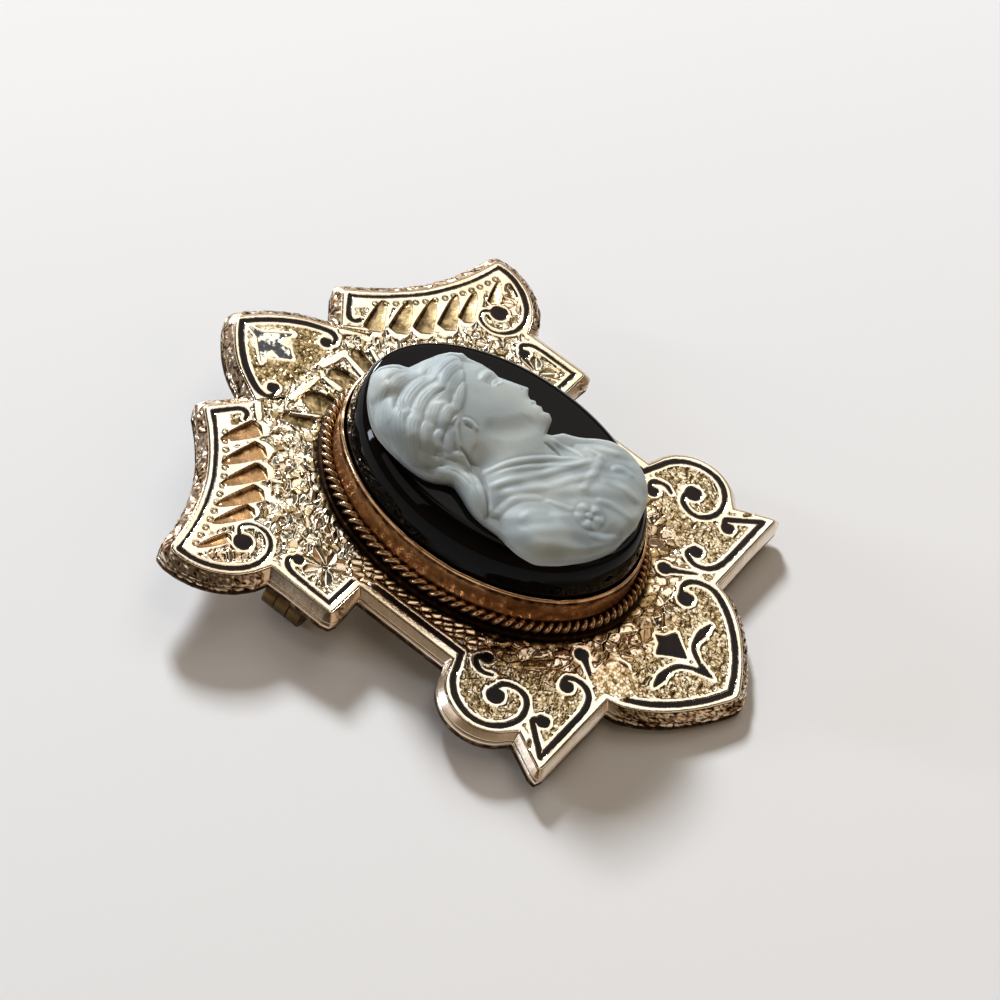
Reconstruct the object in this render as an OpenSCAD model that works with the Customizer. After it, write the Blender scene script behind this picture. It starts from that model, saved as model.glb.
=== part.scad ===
// Cameo brooch: an openwork-shaped metal body with inlaid enamel lines, a tall oval collar,
// a bevelled onyx and a raised bust in the stone's pale layer, lying on its back.

/* [Body] */
// Width over the top face of the two fans
brooch_w = 34.9; // [28:0.1:46]
// Length over the top face from point to point
brooch_l = 40.6; // [34:0.1:52]
// Thickness of the body at its edge
body_h = 1.4; // [1.2:0.05:2.4]
// Width of the flared edge where it is widest
flare_w = 0.65; // [0.3:0.05:0.9]
// Depth of the recess that the back plate lies in
recess_h = 0.25; // [0.1:0.05:0.4]
// Width of the rim left round the recess
back_rim_w = 0.6; // [0.4:0.05:1]

/* [Enamel] */
// Width of an enamel line
line_w = 0.38; // [0.25:0.01:0.5]
// Depth of the channel under the enamel
channel_h = 0.35; // [0.2:0.05:0.6]
// Gap round each inlay
inlay_gap = 0.03; // [0.02:0.01:0.05]
// Radius of the dot that ends a scroll
eye_r = 0.5; // [0.35:0.01:0.6]

/* [Stone] */
// Width of the stone at its girdle
stone_w = 15.6; // [13:0.1:17]
// Length of the stone at its girdle
stone_l = 20.9; // [18:0.1:22]
// Width of the flat top that carries the figure
table_w = 12.8; // [10:0.1:14]
// Length of the flat top that carries the figure
table_l = 19.4; // [16:0.1:20]
// Height of the flat top above the body
table_z = 5.6; // [4.4:0.1:7]

/* [Setting] */
// Height of the collar above the body
collar_h = 3; // [2:0.1:3.6]
// Thickness of the collar's wall
collar_t = 0.35; // [0.25:0.05:0.6]
// Gap between the stone and the collar
stone_gap = 0.06; // [0.04:0.01:0.12]
// Height of the step under the rope wire
step_h = 0.4; // [0.2:0.05:0.8]
// Diameter of the rope wire
rope_d = 0.76; // [0.5:0.02:1]

/* [Figure] */
// Width of the figure
figure_w = 12.1; // [9:0.1:12.6]
// Length of the figure
figure_l = 19; // [15:0.1:19.2]
// Height of the figure's highest place above the stone
relief_h = 2; // [1.2:0.1:2.6]
// Height of the figure at its edge
edge_h = 0.5; // [0.3:0.05:0.8]
// Gap between the figure and the stone under it
layer_gap = 0.03; // [0.02:0.01:0.05]

/* [Fittings] */
// Diameter of the pin's wire
pin_d = 0.9; // [0.7:0.05:1.2]
// How far the pin's point reaches past the catch
pin_over = 0.4; // [0.1:0.1:1]
// Length of the pin's tapered point
point_l = 3; // [2:0.1:5]
// Diameter of the hinge's knuckles
knuckle_d = 1.9; // [1.7:0.05:2.4]
// Diameter of the hinge's rivet
rivet_d = 0.6; // [0.4:0.05:0.8]
// Length of each knuckle
knuckle_l = 0.9; // [0.7:0.05:1.3]
// Gap between pieces that turn on each other
turn_gap = 0.06; // [0.04:0.01:0.1]
// Height of the pin's middle line below the back
pin_drop = 1.35; // [1.2:0.05:1.8]
// Thickness of the catch's strip
catch_t = 0.5; // [0.4:0.05:0.7]
// Width of the catch's strip
catch_w = 2.2; // [1.5:0.1:3]
// Height of the pin above the middle of the brooch
pin_y = 4.8; // [2:0.1:6]

/* [Hidden] */
gold = "#c9a46c";
black = "#17110f";
white = "#b4bab8";

// The plan's tables count across in units of a share of the width and along in a share of the length.
unit_x = brooch_w / 34.9;
unit_y = brooch_l / 40.6;
function at(p) = [p[0] * unit_x, p[1] * unit_y];
function all_at(p) = [for (q = p) at(q)];
function mirrored(p) = [for (i = [len(p) - 1 : -1 : 0]) [-p[i][0], p[i][1]]];
function unit(v) = v / norm(v);
function right_of(a, b) = let (t = unit(b - a)) [t[1], -t[0]];
function total(v) = v * [for (x = v) 1];

// A smooth curve through hand-set points, with a number of steps between each pair.
function between(a, b, c, d, t) =
    (2 * b + (c - a) * t + (2 * a - 5 * b + 4 * c - d) * t * t + (3 * b - a - 3 * c + d) * t * t * t) / 2;
function curve(p, n) = [
    for (i = [0 : len(p) - 2], k = [0 : n - 1])
        between(p[max(i - 1, 0)], p[i], p[i + 1], p[min(i + 2, len(p) - 1)], k / n),
    p[len(p) - 1]
];
function arc(c, r, from, to, n) = [for (k = [0 : n]) let (a = from + (to - from) * k / n) c + r * [cos(a), sin(a)]];

// Outline of the top face, right half from the upper point down. Each run has its share of flare_w, its points, and
// the turns round the setting's oval that its first and last point lie against. A third number at a point is the size
// of that corner's rounding.
round_c = [11.08, -8.9];
round_r = 2.97;
RUNS = [
    [1, [[0, 20.5, 0.6], [1.25, 19.6], [2.25, 18.7], [3.15, 17.6], [3.85, 16.35]], 90, 78],
    [1, [[4.5, 15.2], [5.6, 16.0], [7.25, 17.2, 0.4]], 75, 70],
    [1, curve([[8.5, 15.85], [9.9, 14.6], [11.6, 13.42], [13.6, 12.5], [15.6, 11.9]], 2), 67, 43],
    [1, [[17.45, 11.55, 0.4]], 40, 40],
    [1, curve([[17.4, 10.4], [17.15, 9.4], [16.65, 8.4], [15.85, 7.45], [14.9, 6.8]], 2), 38, 28],
    [0.9, [[13.8, 6.35]], 25, 25],
    [0.8, [[13.85, 4.6], [13.88, 1.6, 0.25]], 20, 17],
    [0.55, curve([[10.95, 1.6], [10.95, -2], [10.95, -5.75]], 3), 13, -29],
    [0.55, arc(round_c, round_r, 68, -56, 10), -36, -47],
    [0.55, [[12.25, -11.8], [13.68, -14.38, 0.35], [10, -14.38]], -49, -58],
    [0.6, [[8.2, -14.39], [6.3, -14.4]], -63, -68],
    [0.75, curve([[6.0, -15.4], [5.3, -16.5], [4.3, -17.6], [3.2, -18.5], [2.1, -19.25], [1.2, -19.75]], 2), -71, -86],
    [0.75, [[0, -20.4, 0.6]], -90, -90]
];
// The sharp loop: across, along, flare, rounding and turn, the left half down and then the right half back up.
HALF = [
    for (run = RUNS, i = [0 : len(run[1]) - 1])
        let (p = run[1][i], t = run[2] + (run[3] - run[2]) * i / max(len(run[1]) - 1, 1))
        [p[0] * unit_x, p[1] * unit_y, run[0] * flare_w, len(p) > 2 ? p[2] : 0, t]
];
LOOP = [
    for (p = HALF) [-p[0], p[1], p[2], p[3], 180 - p[4]],
    for (i = [len(HALF) - 2 : -1 : 1]) let (p = HALF[i]) [p[0], p[1], p[2], p[3], 360 + p[4]]
];
SHARP = [for (p = LOOP) [p[0], p[1]]];
ROUND = [for (p = LOOP) p[3]];
// A loop with three points at each rounded corner, so that all loops made from the outline have as many points.
function rounded(p, r) = [
    for (i = [0 : len(p) - 1])
        let (n = len(p), c = p[i], a = c + unit(p[(i + n - 1) % n] - c) * r[i], b = c + unit(p[(i + 1) % n] - c) * r[i])
        each r[i] > 0 ? [a, (a + 2 * c + b) / 4, b] : [c]
];
OUTLINE = rounded(SHARP, ROUND);
FLARE = [for (p = LOOP) each p[3] > 0 ? [p[2], p[2], p[2]] : [p[2]]];
TURNS = [for (p = LOOP) each p[3] > 0 ? [p[4] - 0.8, p[4], p[4] + 0.8] : [p[4]]];
function pushed(p, i, d) =
    let (n = len(p), a = right_of(p[(i + n - 1) % n], p[i]), b = right_of(p[i], p[(i + 1) % n]))
    p[i] + (a + b) * d / max(1 + a * b, 0.45);
function grown(p, d) = [for (i = [0 : len(p) - 1]) pushed(p, i, is_list(d) ? d[i] : d)];

// Section of the flared edge: share of the flare outwards, share of body_h down.
EDGE = [[0, 0], [0.9, 0.3], [1, 0.36], [0.7, 0.47], [1, 0.6], [1.05, 0.8], [0.85, 1]];
// The rim round the recess at the back.
BACK = rounded(grown(SHARP, -back_rim_w), [for (r = ROUND) r > 0 ? max(r - back_rim_w, 0.06) : 0]);

// Skin over a stack of loops with as many points each, closed by the first and the last loop, which are convex.
module stack(loops) {
    n = len(loops[0]);
    m = len(loops);
    polyhedron(
        points = [for (l = loops, p = l) p],
        faces = concat(
            [for (k = [0 : m - 2], i = [0 : n - 1]) [k * n + i, (k + 1) * n + i, (k + 1) * n + (i + 1) % n, k * n + (i + 1) % n]],
            [[for (i = [0 : n - 1]) i]],
            [[for (i = [n - 1 : -1 : 0]) (m - 1) * n + i]]),
        convexity = 10);
}
function lifted(p, z) = [for (q = p) [q[0], q[1], z]];

// Ovals of the stone and its setting, all about one middle.
oval_n = 64;
function oval(w, l) = [for (i = [0 : oval_n - 1]) [w / 2 * cos(i * 360 / oval_n), l / 2 * sin(i * 360 / oval_n)]];
// The setting's ovals have a point for each point of the outline.
function oval_out(d, z) = [for (t = TURNS) [(stone_w / 2 + d) * cos(t), (stone_l / 2 + d) * sin(t), z]];
wall_in = stone_gap;
wall_out = stone_gap + collar_t;
rope_out = wall_out + rope_d / 2;
rope_z = step_h + rope_d / 2;
step_out = wall_out + rope_d * 1.1;
// Section of the setting: distance out from the stone's girdle, height above the body.
SETTING = [
    [step_out, 0], [step_out, step_h],
    for (a = [-70 : 49 : 175]) [rope_out + rope_d / 2 * cos(a), rope_z + rope_d / 2 * sin(a)],
    [wall_out, rope_z + rope_d * 0.6], [wall_out - 0.04, collar_h - 0.15], [wall_out - 0.12, collar_h],
    [wall_in, collar_h], [wall_in, 0]
];

// The enamel's lines: points, steps between them, width as a share of line_w at the start, middle and end.
TOP_LINE = [[0, 19.95], [0.9, 19.3], [1.9, 18.4], [2.8, 17.35], [3.35, 16.45], [3.7, 15.55], [3.6, 14.95], [3.2, 14.72], [2.85, 14.9]];
TOP_EYE = [2.8, 15.1];
FAN_HOOK = [[6.1, 14.7], [5.7, 14.95], [5.65, 15.4], [6.2, 15.85], [7.2, 16.5]];
FAN_EDGE = [[7.2, 16.5], [8.5, 15.2], [10, 13.98], [11.3, 13.08], [12.5, 12.47], [14, 11.85], [15.5, 11.43], [17, 11.15]];
FAN_SCROLL = [[17, 11.15], [16.92, 10.2], [16.6, 9.2], [16.0, 8.25], [15.2, 7.5], [14.2, 7.05], [13.2, 7.1], [12.4, 7.6],
              [12.05, 8.4], [12.25, 9.25], [12.95, 9.6], [13.55, 9.15]];
FAN_EYE = [13.7, 8.75];
STEP_LINE = [[12.2, 5.75], [12.55, 6.0], [13, 5.75], [13.25, 5.2], [13.3, 4]];
STEP_CORNER = [13.33, 2.15];
STEP_END = [10.95, 2.15];
STEP_EYE = [12.15, 5.5];
SIDE_TOP = [10.25, 0.9];
SIDE_LOW = [10.2, -5.85];
ROUND_LINE = [[10.2, -5.85], [11.1, -6.2], [12.2, -6.65], [13.05, -7.45], [13.5, -8.5], [13.5, -9.45], [13.1, -10.35],
              [12.35, -11.0], [11.4, -11.3], [10.5, -11.1], [9.9, -10.55], [9.78, -9.75], [10.15, -9.05], [10.9, -8.85]];
ROUND_EYE = [11.2, -9.2];
COMMA_LINE = [[9.35, -6.95], [9.8, -6.72], [10.2, -7.0], [10.35, -7.55], [10.1, -8.15]];
COMMA_EYE = [9.3, -7.2];
HOOK_NEAR = [[7.3, -11.65], [6.85, -11.65], [6.55, -12.1], [6.55, -12.75], [6.95, -13.4], [7.7, -13.75], [8.6, -13.85]];
HOOK_TIP = [12.8, -13.85];
HOOK_FAR = [[12.8, -13.85], [11.35, -12.25], [10.95, -11.97], [10.6, -12.15]];
HOOK_EYES = [[7.4, -12.0], [10.58, -12.42]];
DROP_EYE = [4.75, -11.25];
DROP_LINE = [[4.85, -11.5], [5.3, -12.15], [6.0, -13.05]];
BASE_LINE = [[0, -19.7], [1, -19.27], [2, -18.72], [3, -18.02], [3.95, -17.2], [4.75, -16.3], [5.4, -15.3], [5.7, -14.4],
             [5.5, -13.55], [4.95, -12.98], [4.3, -12.95], [3.8, -13.25]];
BASE_EYE = [3.8, -13.6];
// The enamel of the left scroll is gone, so its inlay stops where the line begins to turn.
BASE_WORN = 6;
DIAMOND = [[0, -13.8], [0.35, -14.3], [1.15, -14.65], [0.6, -15.35], [0, -16.25]];
LEAF = [[0, 19.35], [0.22, 18.5], [0.95, 17.75], [1.7, 16.95], [0.95, 17.3], [0.3, 17.15], [0.5, 16.4], [0, 15.75]];
ARM = [[0.1, -17.4], [0.4, -16.85], [0.85, -16.25], [1.5, -15.95], [2.4, -15.9], [3.35, -15.95]];
ARM_W = [0.6, 0.75, 0.85, 0.9, 1.5, 0.3];

// Width along a line, and the shape that it gives: left side, then right side back.
function wide(ws, t) = let (k = t * (len(ws) - 1), i = min(floor(k), len(ws) - 2)) ws[i] + (ws[i + 1] - ws[i]) * (k - i);
function along(p, i) =
    let (n = len(p), a = i > 0 ? right_of(p[i - 1], p[i]) : right_of(p[0], p[1]),
         b = i < n - 1 ? right_of(p[i], p[i + 1]) : right_of(p[n - 2], p[n - 1]))
    (a + b) / max(1 + a * b, 0.5);
module line(p, ws, g) {
    n = len(p);
    near = unit(p[0] - p[1]) * g;
    far = unit(p[n - 1] - p[n - 2]) * g;
    mid = [for (i = [0 : n - 1]) p[i] + (i == 0 ? near : i == n - 1 ? far : [0, 0])];
    half = [for (i = [0 : n - 1]) wide(ws, i / (n - 1)) * line_w / 2 + g];
    polygon(concat(
        [for (i = [0 : n - 1]) mid[i] + along(p, i) * half[i]],
        [for (i = [n - 1 : -1 : 0]) mid[i] - along(p, i) * half[i]]));
}
module eye(p, share, g) {
    translate(at(p)) circle(r = eye_r * share + g, $fn = 32);
}
function path(p, n) = curve(all_at(p), n);
function joined(a, b) = concat(a, [for (i = [1 : len(b) - 1]) b[i]]);
function both_ways(p) = concat([for (i = [len(p) - 1 : -1 : 1]) [-p[i][0], p[i][1]]], p);

// One inlay's plan on the right half or across the middle, grown by g.
module inlay_plan(kind, g) {
    if (kind == "top_line") {
        line(both_ways(path(TOP_LINE, 3)), [0.6, 1.1, 1, 1.1, 0.6], g);
        for (s = [-1, 1]) eye([s * TOP_EYE[0], TOP_EYE[1]], 0.75, g);
    }
    if (kind == "top_leaf") polygon(grown(mirror_loop(all_at(LEAF)), g));
    if (kind == "fan") {
        line(joined(joined(path(FAN_HOOK, 2), path(FAN_EDGE, 2)), path(FAN_SCROLL, 3)), [0.8, 1, 0.9, 0.8, 1, 0.8, 0.5, 0.6], g);
        eye(FAN_EYE, 1.15, g);
    }
    if (kind == "step") {
        line(concat(path(STEP_LINE, 3), [at(STEP_CORNER), at(STEP_END)]), [0.8, 0.8], g);
        eye(STEP_EYE, 0.7, g);
    }
    if (kind == "side") {
        line(concat([at(SIDE_TOP)], path(ROUND_LINE, 3)), [1.1, 1, 1, 1, 0.9, 0.9], g);
        eye(ROUND_EYE, 1.1, g);
    }
    if (kind == "comma") {
        line(path(COMMA_LINE, 3), [1, 1, 0.5], g);
        eye(COMMA_EYE, 0.75, g);
    }
    if (kind == "hook") {
        line(joined(concat(path(HOOK_NEAR, 2), [at(HOOK_TIP)]), path(HOOK_FAR, 2)), [0.9, 1, 1, 1, 1, 1], g);
        for (p = HOOK_EYES) eye(p, 0.85, g);
    }
    if (kind == "drop") {
        line(path(DROP_LINE, 3), [1.4, 0.8, 0.4], g);
        eye(DROP_EYE, 0.85, g);
    }
    if (kind == "diamond") polygon(grown(mirror_loop(all_at(DIAMOND)), g));
    if (kind == "arms") {
        line(path(ARM, 3), ARM_W, g);
        line(path([for (p = ARM) [-p[0], p[1]]], 3), ARM_W, g);
        polygon(grown(all_at([[-0.42, -17.1], [0, -18.35], [0.42, -17.1], [0, -17.25]]), g));
    }
}
// A closed loop from its right half, whose first and last points lie on the middle line.
function mirror_loop(p) = concat(
    [for (i = [0 : len(p) - 1]) [-p[i][0], p[i][1]]],
    [for (i = [len(p) - 2 : -1 : 1]) p[i]]);
base_whole = path(BASE_LINE, 3);
base_left = [for (i = [BASE_WORN * 3 : -1 : 1]) [-base_whole[i][0], base_whole[i][1]]];
module base_plan(g, worn) {
    left = worn ? base_left : mirrored([for (i = [1 : len(base_whole) - 1]) base_whole[i]]);
    line(concat(left, base_whole), worn ? [1, 1.1, 1.1, 1, 0.8] : [0.8, 1, 1.1, 1, 0.8], g);
    for (s = worn ? [1] : [-1, 1]) eye([s * BASE_EYE[0], BASE_EYE[1]], 1.05, g);
}
module channel() {
    translate([0, 0, -channel_h]) linear_extrude(height = channel_h + 1) children();
}
module channels() {
    for (kind = ["top_line", "top_leaf", "diamond", "arms"]) channel() inlay_plan(kind, inlay_gap);
    channel() base_plan(inlay_gap, false);
    for (kind = ["fan", "step", "side", "comma", "hook", "drop"], s = [0, 1])
        mirror([s, 0, 0]) channel() inlay_plan(kind, inlay_gap);
}
inlay_h = channel_h - 2 * inlay_gap;
module inlay() {
    lying() color(black) translate([0, 0, inlay_gap - channel_h]) linear_extrude(height = inlay_h) children();
}

module mirrored_inlay() {
    lying() color(black) mirror([1, 0, 0]) translate([0, 0, inlay_gap - channel_h]) linear_extrude(height = inlay_h) children();
}

// Fittings on the back: the pin's middle line, the hinge at its left end and the catch at its right.
back_z = -body_h;
plate_z = recess_h - body_h;
pin_z = back_z - pin_drop;
hinge_x = -13.2 * unit_x;
catch_x = 11.6 * unit_x;
pin_l = catch_x + catch_w + pin_over - hinge_x;
knuckle_r = knuckle_d / 2;
catch_r = pin_d / 2 + turn_gap + catch_t;

// The brooch lies on the hinge or the catch, whichever lies lower, and on the lower edge of its bottom lobe.
SIDES = [for (e = EDGE) lifted(grown(OUTLINE, FLARE * e[0]), -e[1] * body_h)];
rest_y = min([for (p = SIDES[len(SIDES) - 1]) p[1]]);
reach_y = pin_y - rest_y;
end_y = reach_y - 1.5 * knuckle_l - turn_gap;
lie = max(atan((back_z + knuckle_r - pin_z) / end_y), asin(catch_r / norm([reach_y, pin_z - back_z])) - atan2(pin_z - back_z, reach_y));
lift = -(rest_y * sin(lie) + back_z * cos(lie));
ALONG = [for (l = SIDES, p = l) p[1] * cos(lie) - p[2] * sin(lie)];
shift_y = -(min(ALONG) + max(ALONG)) / 2;
module lying() {
    translate([0, shift_y, lift]) rotate([lie, 0, 0]) children();
}

module body() {
    stack(concat(
        [oval_out(step_out, plate_z), lifted(BACK, plate_z), lifted(BACK, back_z)],
        [for (i = [len(SIDES) - 1 : -1 : 0]) SIDES[i]],
        [for (s = SETTING) oval_out(s[0], s[1])]));
}
module knuckle(y) {
    translate([hinge_x, pin_y + y, pin_z]) rotate([90, 0, 0]) cylinder(h = knuckle_l, r = knuckle_r, center = true, $fn = 48);
}
// The catch: a strip that comes down from the back and hooks under the pin, open towards the lower point.
module catch() {
    top = plate_z - pin_z + 0.1;
    inner = catch_r - catch_t;
    translate([catch_x, pin_y, pin_z]) rotate([90, 0, 90]) linear_extrude(height = catch_w)
        polygon(concat([[inner, top], [inner, 0]], arc([0, 0], inner, 0, -165, 8),
            arc([0, 0], catch_r, -165, 0, 8), [[catch_r, top]]));
}
module fittings() {
    gap_y = knuckle_l + turn_gap;
    stem_w = knuckle_d * 0.8;
    for (s = [-1, 1]) {
        knuckle(s * gap_y);
        translate([hinge_x - stem_w / 2, pin_y + s * gap_y - knuckle_l / 2, pin_z])
            cube([stem_w, knuckle_l, plate_z - pin_z + 0.1]);
    }
    translate([hinge_x, pin_y, pin_z]) rotate([90, 0, 0])
        cylinder(h = 2 * gap_y, r = rivet_d / 2, center = true, $fn = 32);
    catch();
}
module frame() {
    lying() color(gold) {
        difference() {
            union() {
                body();
                fittings();
            }
            channels();
        }
    }
}

module pin() {
    lying() color(gold) {
        difference() {
            union() {
                knuckle(0);
                translate([hinge_x, pin_y, pin_z]) rotate([0, 90, 0]) cylinder(h = pin_l - point_l, r = pin_d / 2, $fn = 32);
            }
            translate([hinge_x, pin_y, pin_z]) rotate([90, 0, 0])
                cylinder(h = knuckle_l + 2, r = rivet_d / 2 + turn_gap, center = true, $fn = 32);
        }
        translate([hinge_x + pin_l - point_l, pin_y, pin_z]) rotate([0, 90, 0])
            cylinder(h = point_l, r1 = pin_d / 2, r2 = 0.06, $fn = 32);
    }
}

// The onyx: girdle inside the collar, a steep bevel and a softly rounded edge round its flat top.
// Section: share of the way in from girdle to table, share of the way up.
STONE = [[0.02, 0], [0, 0.05], [0, 0.42], [0.08, 0.55], [0.55, 0.86], [0.8, 0.97], [1, 1]];
stone_z = 0.06;
module onyx() {
    rise = table_z - stone_z;
    loops = [for (s = STONE) lifted(
        oval(stone_w + (table_w - stone_w) * s[0], stone_l + (table_l - stone_l) * s[0]), stone_z + rise * s[1])];
    lying() color(black) stack(loops);
}

// The figure, a bust to the right. Rows: height, left edge, right edge, in units of its length and width.
ROWS = [
    [-9.4, -1.0, 0.6], [-9.2, -2.1, 2.0], [-8.6, -3.3, 3.7], [-7.6, -4.8, 4.95], [-6.5, -5.85, 5.7], [-5.4, -6.05, 6.0],
    [-4.4, -5.95, 5.8], [-3.4, -5.75, 5.05], [-2.6, -5.95, 4.2], [-1.9, -5.95, 3.3], [-1.45, -5.8, 2.65],
    [-1.15, -5.75, 2.6], [-0.95, -5.7, 3.3], [-0.75, -5.7, 3.8], [-0.35, -5.6, 4.05], [0.0, -5.6, 3.85],
    [0.3, -5.55, 4.1], [0.6, -5.5, 3.95], [0.85, -5.5, 4.2], [1.15, -5.5, 4.0], [1.45, -5.6, 4.2], [1.8, -5.7, 4.72],
    [2.3, -5.9, 4.5], [3.1, -6.0, 4.1], [3.6, -6.05, 3.88], [4.1, -6.05, 4.02], [5.0, -5.95, 3.98], [5.9, -5.75, 3.7],
    [6.4, -5.55, 3.85], [7.0, -5.2, 3.5], [7.6, -4.8, 2.7], [8.1, -4.35, 1.5], [8.5, -3.95, 0.45], [8.9, -3.3, 0.55],
    [9.3, -2.3, 0.2], [9.6, -1.3, -0.7]
];
fig_x = figure_w / 12.1;
fig_y = figure_l / 19;
fig_up = relief_h / 2;
// Rounded masses: middle x, y, half width, half length, height.
MASSES = [
    [-1.2, 4.4, 5.0, 4.9, 1.75], [1.7, 2.6, 3.4, 4.4, 1.55], [-1.0, 8.9, 1.7, 1.1, 1.45], [-4.3, 4.6, 2.3, 3.2, 1.6],
    [0.6, -0.6, 3.2, 3.6, 1.2], [-0.4, -6.4, 7.4, 5.0, 1.6], [-4.8, -0.6, 1.6, 3.6, 1.35], [3.0, 0.2, 1.5, 1.3, 1.15]
];
// Ridges and, where the rise is below nothing, hollows: start, bend, end, half width, rise.
RIDGES = [
    [[3.5, 6.6], [1.4, 6.9], [-1.2, 4.7], 1.1, 0.4], [[-1.2, 4.7], [-2.4, 3.6], [-2.2, 2.2], 1.0, 0.35],
    [[-2.0, 8.0], [-4.6, 6.6], [-5.0, 3.6], 0.9, 0.3], [[-3.4, 6.0], [-3.6, 3.4], [-4.9, 1.2], 0.8, 0.3],
    [[-4.6, 1.4], [-4.2, -0.6], [-5.4, -2.6], 0.7, 0.35], [[-3.0, 1.6], [-3.3, -0.4], [-4.4, -2.0], 0.6, 0.35],
    [[-2.3, 1.4], [-1.6, -0.8], [-3.4, -2.2], 0.6, -0.35], [[2.6, 0.1], [0.8, -0.3], [-0.6, 1.9], 0.8, -0.35],
    [[3.7, 3.45], [3.0, 3.75], [2.3, 3.35], 0.45, -0.35], [[3.9, 4.15], [3.0, 4.35], [2.2, 3.95], 0.35, 0.18],
    [[-3.4, -1.6], [0.4, -3.0], [5.2, -4.6], 0.6, 0.4], [[-4.2, -2.6], [-0.4, -4.4], [4.8, -6.2], 0.55, 0.35],
    [[-4.9, -4.2], [-1.6, -6.4], [2.6, -8.6], 0.6, 0.35], [[0.6, -5.4], [3.2, -5.6], [3.4, -7.6], 0.55, 0.3],
    [[0.2, -7.6], [0.4, -6.2], [2.0, -6.4], 0.5, 0.3], [[-1.2, -1.4], [1.0, -2.2], [3.8, -2.7], 0.5, 0.3]
];
function row_at(y, c) =
    let (n = len(ROWS), i = max([for (k = [0 : n - 2]) y >= ROWS[k][0] ? k : 0]), t = (y - ROWS[i][0]) / (ROWS[i + 1][0] - ROWS[i][0]))
    ROWS[i][c] + (ROWS[i + 1][c] - ROWS[i][c]) * t;
function mass_at(x, y) =
    ln(total([for (m = MASSES) let (d = 1 - pow((x - m[0]) / m[2], 2) - pow((y - m[1]) / m[3], 2))
        exp(5 * (d > 0 ? m[4] * pow(d, 0.5) : 0))])) / 5 - 0.2;
function bend(a, b, c, t) = a * (1 - t) * (1 - t) + b * 2 * t * (1 - t) + c * t * t;
function gap_to(p, a, b) = let (v = b - a, t = min(max((p - a) * v / (v * v), 0), 1)) norm(p - a - v * t);
function ridge_at(p, r) =
    let (k = [for (t = [0 : 0.25 : 1]) bend(r[0], r[1], r[2], t)], d = min([for (i = [0 : 3]) gap_to(p, k[i], k[i + 1])]) / r[3])
    d < 1 ? r[4] * pow(1 - d * d, 2) : 0;
function height_at(x, y) = mass_at(x, y) + total([for (r = RIDGES) ridge_at([x, y], r)]);
cols = 30;
lines = 62;
round_in = 0.9;
module cameo_figure() {
    n = cols + 1;
    low = ROWS[0][0];
    high = ROWS[len(ROWS) - 1][0];
    grid = [for (j = [0 : lines]) let (y = low + (high - low) * j / lines, a = row_at(y, 1), b = row_at(y, 2))
        [for (i = [0 : cols]) let (s = (1 - cos(180 * i / cols)) / 2, x = a + (b - a) * s,
            e = max(min(x - a, b - x, (y - low) * 1.5 + 0.1, (high - y) * 1.5 + 0.1), 0) / round_in,
            k = e < 1 ? sqrt(1 - pow(1 - e, 2)) : 1,
            h = edge_h + (max(height_at(x, y), edge_h + 0.1) - edge_h) * k)
            [x * fig_x, y * fig_y, h * fig_up]]];
    top = [for (r = grid, p = r) p];
    foot = [for (r = grid) each [[r[0][0], r[0][1], 0], [r[cols][0], r[cols][1], 0]]];
    t = len(top);
    faces = concat(
        [for (j = [0 : lines - 1], i = [0 : cols - 1]) each [
            [j * n + i, (j + 1) * n + i, (j + 1) * n + i + 1], [j * n + i, (j + 1) * n + i + 1, j * n + i + 1]]],
        [for (j = [0 : lines - 1]) each [
            [t + 2 * j, t + 2 * j + 1, t + 2 * j + 3], [t + 2 * j, t + 2 * j + 3, t + 2 * j + 2],
            [t + 2 * j, t + 2 * j + 2, (j + 1) * n], [t + 2 * j, (j + 1) * n, j * n],
            [t + 2 * j + 1, j * n + cols, (j + 1) * n + cols], [t + 2 * j + 1, (j + 1) * n + cols, t + 2 * j + 3]]],
        [for (i = [0 : cols - 1]) [i, i + 1, t + 1]], [[0, t + 1, t]],
        [for (i = [0 : cols - 1]) [lines * n + i + 1, lines * n + i, t + 2 * lines]], [[lines * n + cols, t + 2 * lines, t + 2 * lines + 1]]);
    lying() color(white) translate([0, 0, table_z + layer_gap]) polyhedron(points = concat(top, foot), faces = faces, convexity = 10);
}

frame();
onyx();
cameo_figure();
pin();
inlay() inlay_plan("top_line", 0);  // enamel_top_line
inlay() inlay_plan("top_leaf", 0);  // enamel_top_leaf
mirrored_inlay() inlay_plan("fan", 0);  // enamel_fan_left
inlay() inlay_plan("fan", 0);  // enamel_fan_right
mirrored_inlay() inlay_plan("step", 0);  // enamel_step_left
inlay() inlay_plan("step", 0);  // enamel_step_right
mirrored_inlay() inlay_plan("side", 0);  // enamel_side_left
inlay() inlay_plan("side", 0);  // enamel_side_right
mirrored_inlay() inlay_plan("comma", 0);  // enamel_comma_left
inlay() inlay_plan("comma", 0);  // enamel_comma_right
mirrored_inlay() inlay_plan("hook", 0);  // enamel_hook_left
inlay() inlay_plan("hook", 0);  // enamel_hook_right
mirrored_inlay() inlay_plan("drop", 0);  // enamel_drop_left
inlay() inlay_plan("drop", 0);  // enamel_drop_right
inlay() base_plan(0, true);  // enamel_base_line
inlay() inlay_plan("diamond", 0);  // enamel_diamond
inlay() inlay_plan("arms", 0);  // enamel_arms
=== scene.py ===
import math

import bmesh
import bpy
import numpy as np
from mathutils import Matrix, Vector


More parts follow.
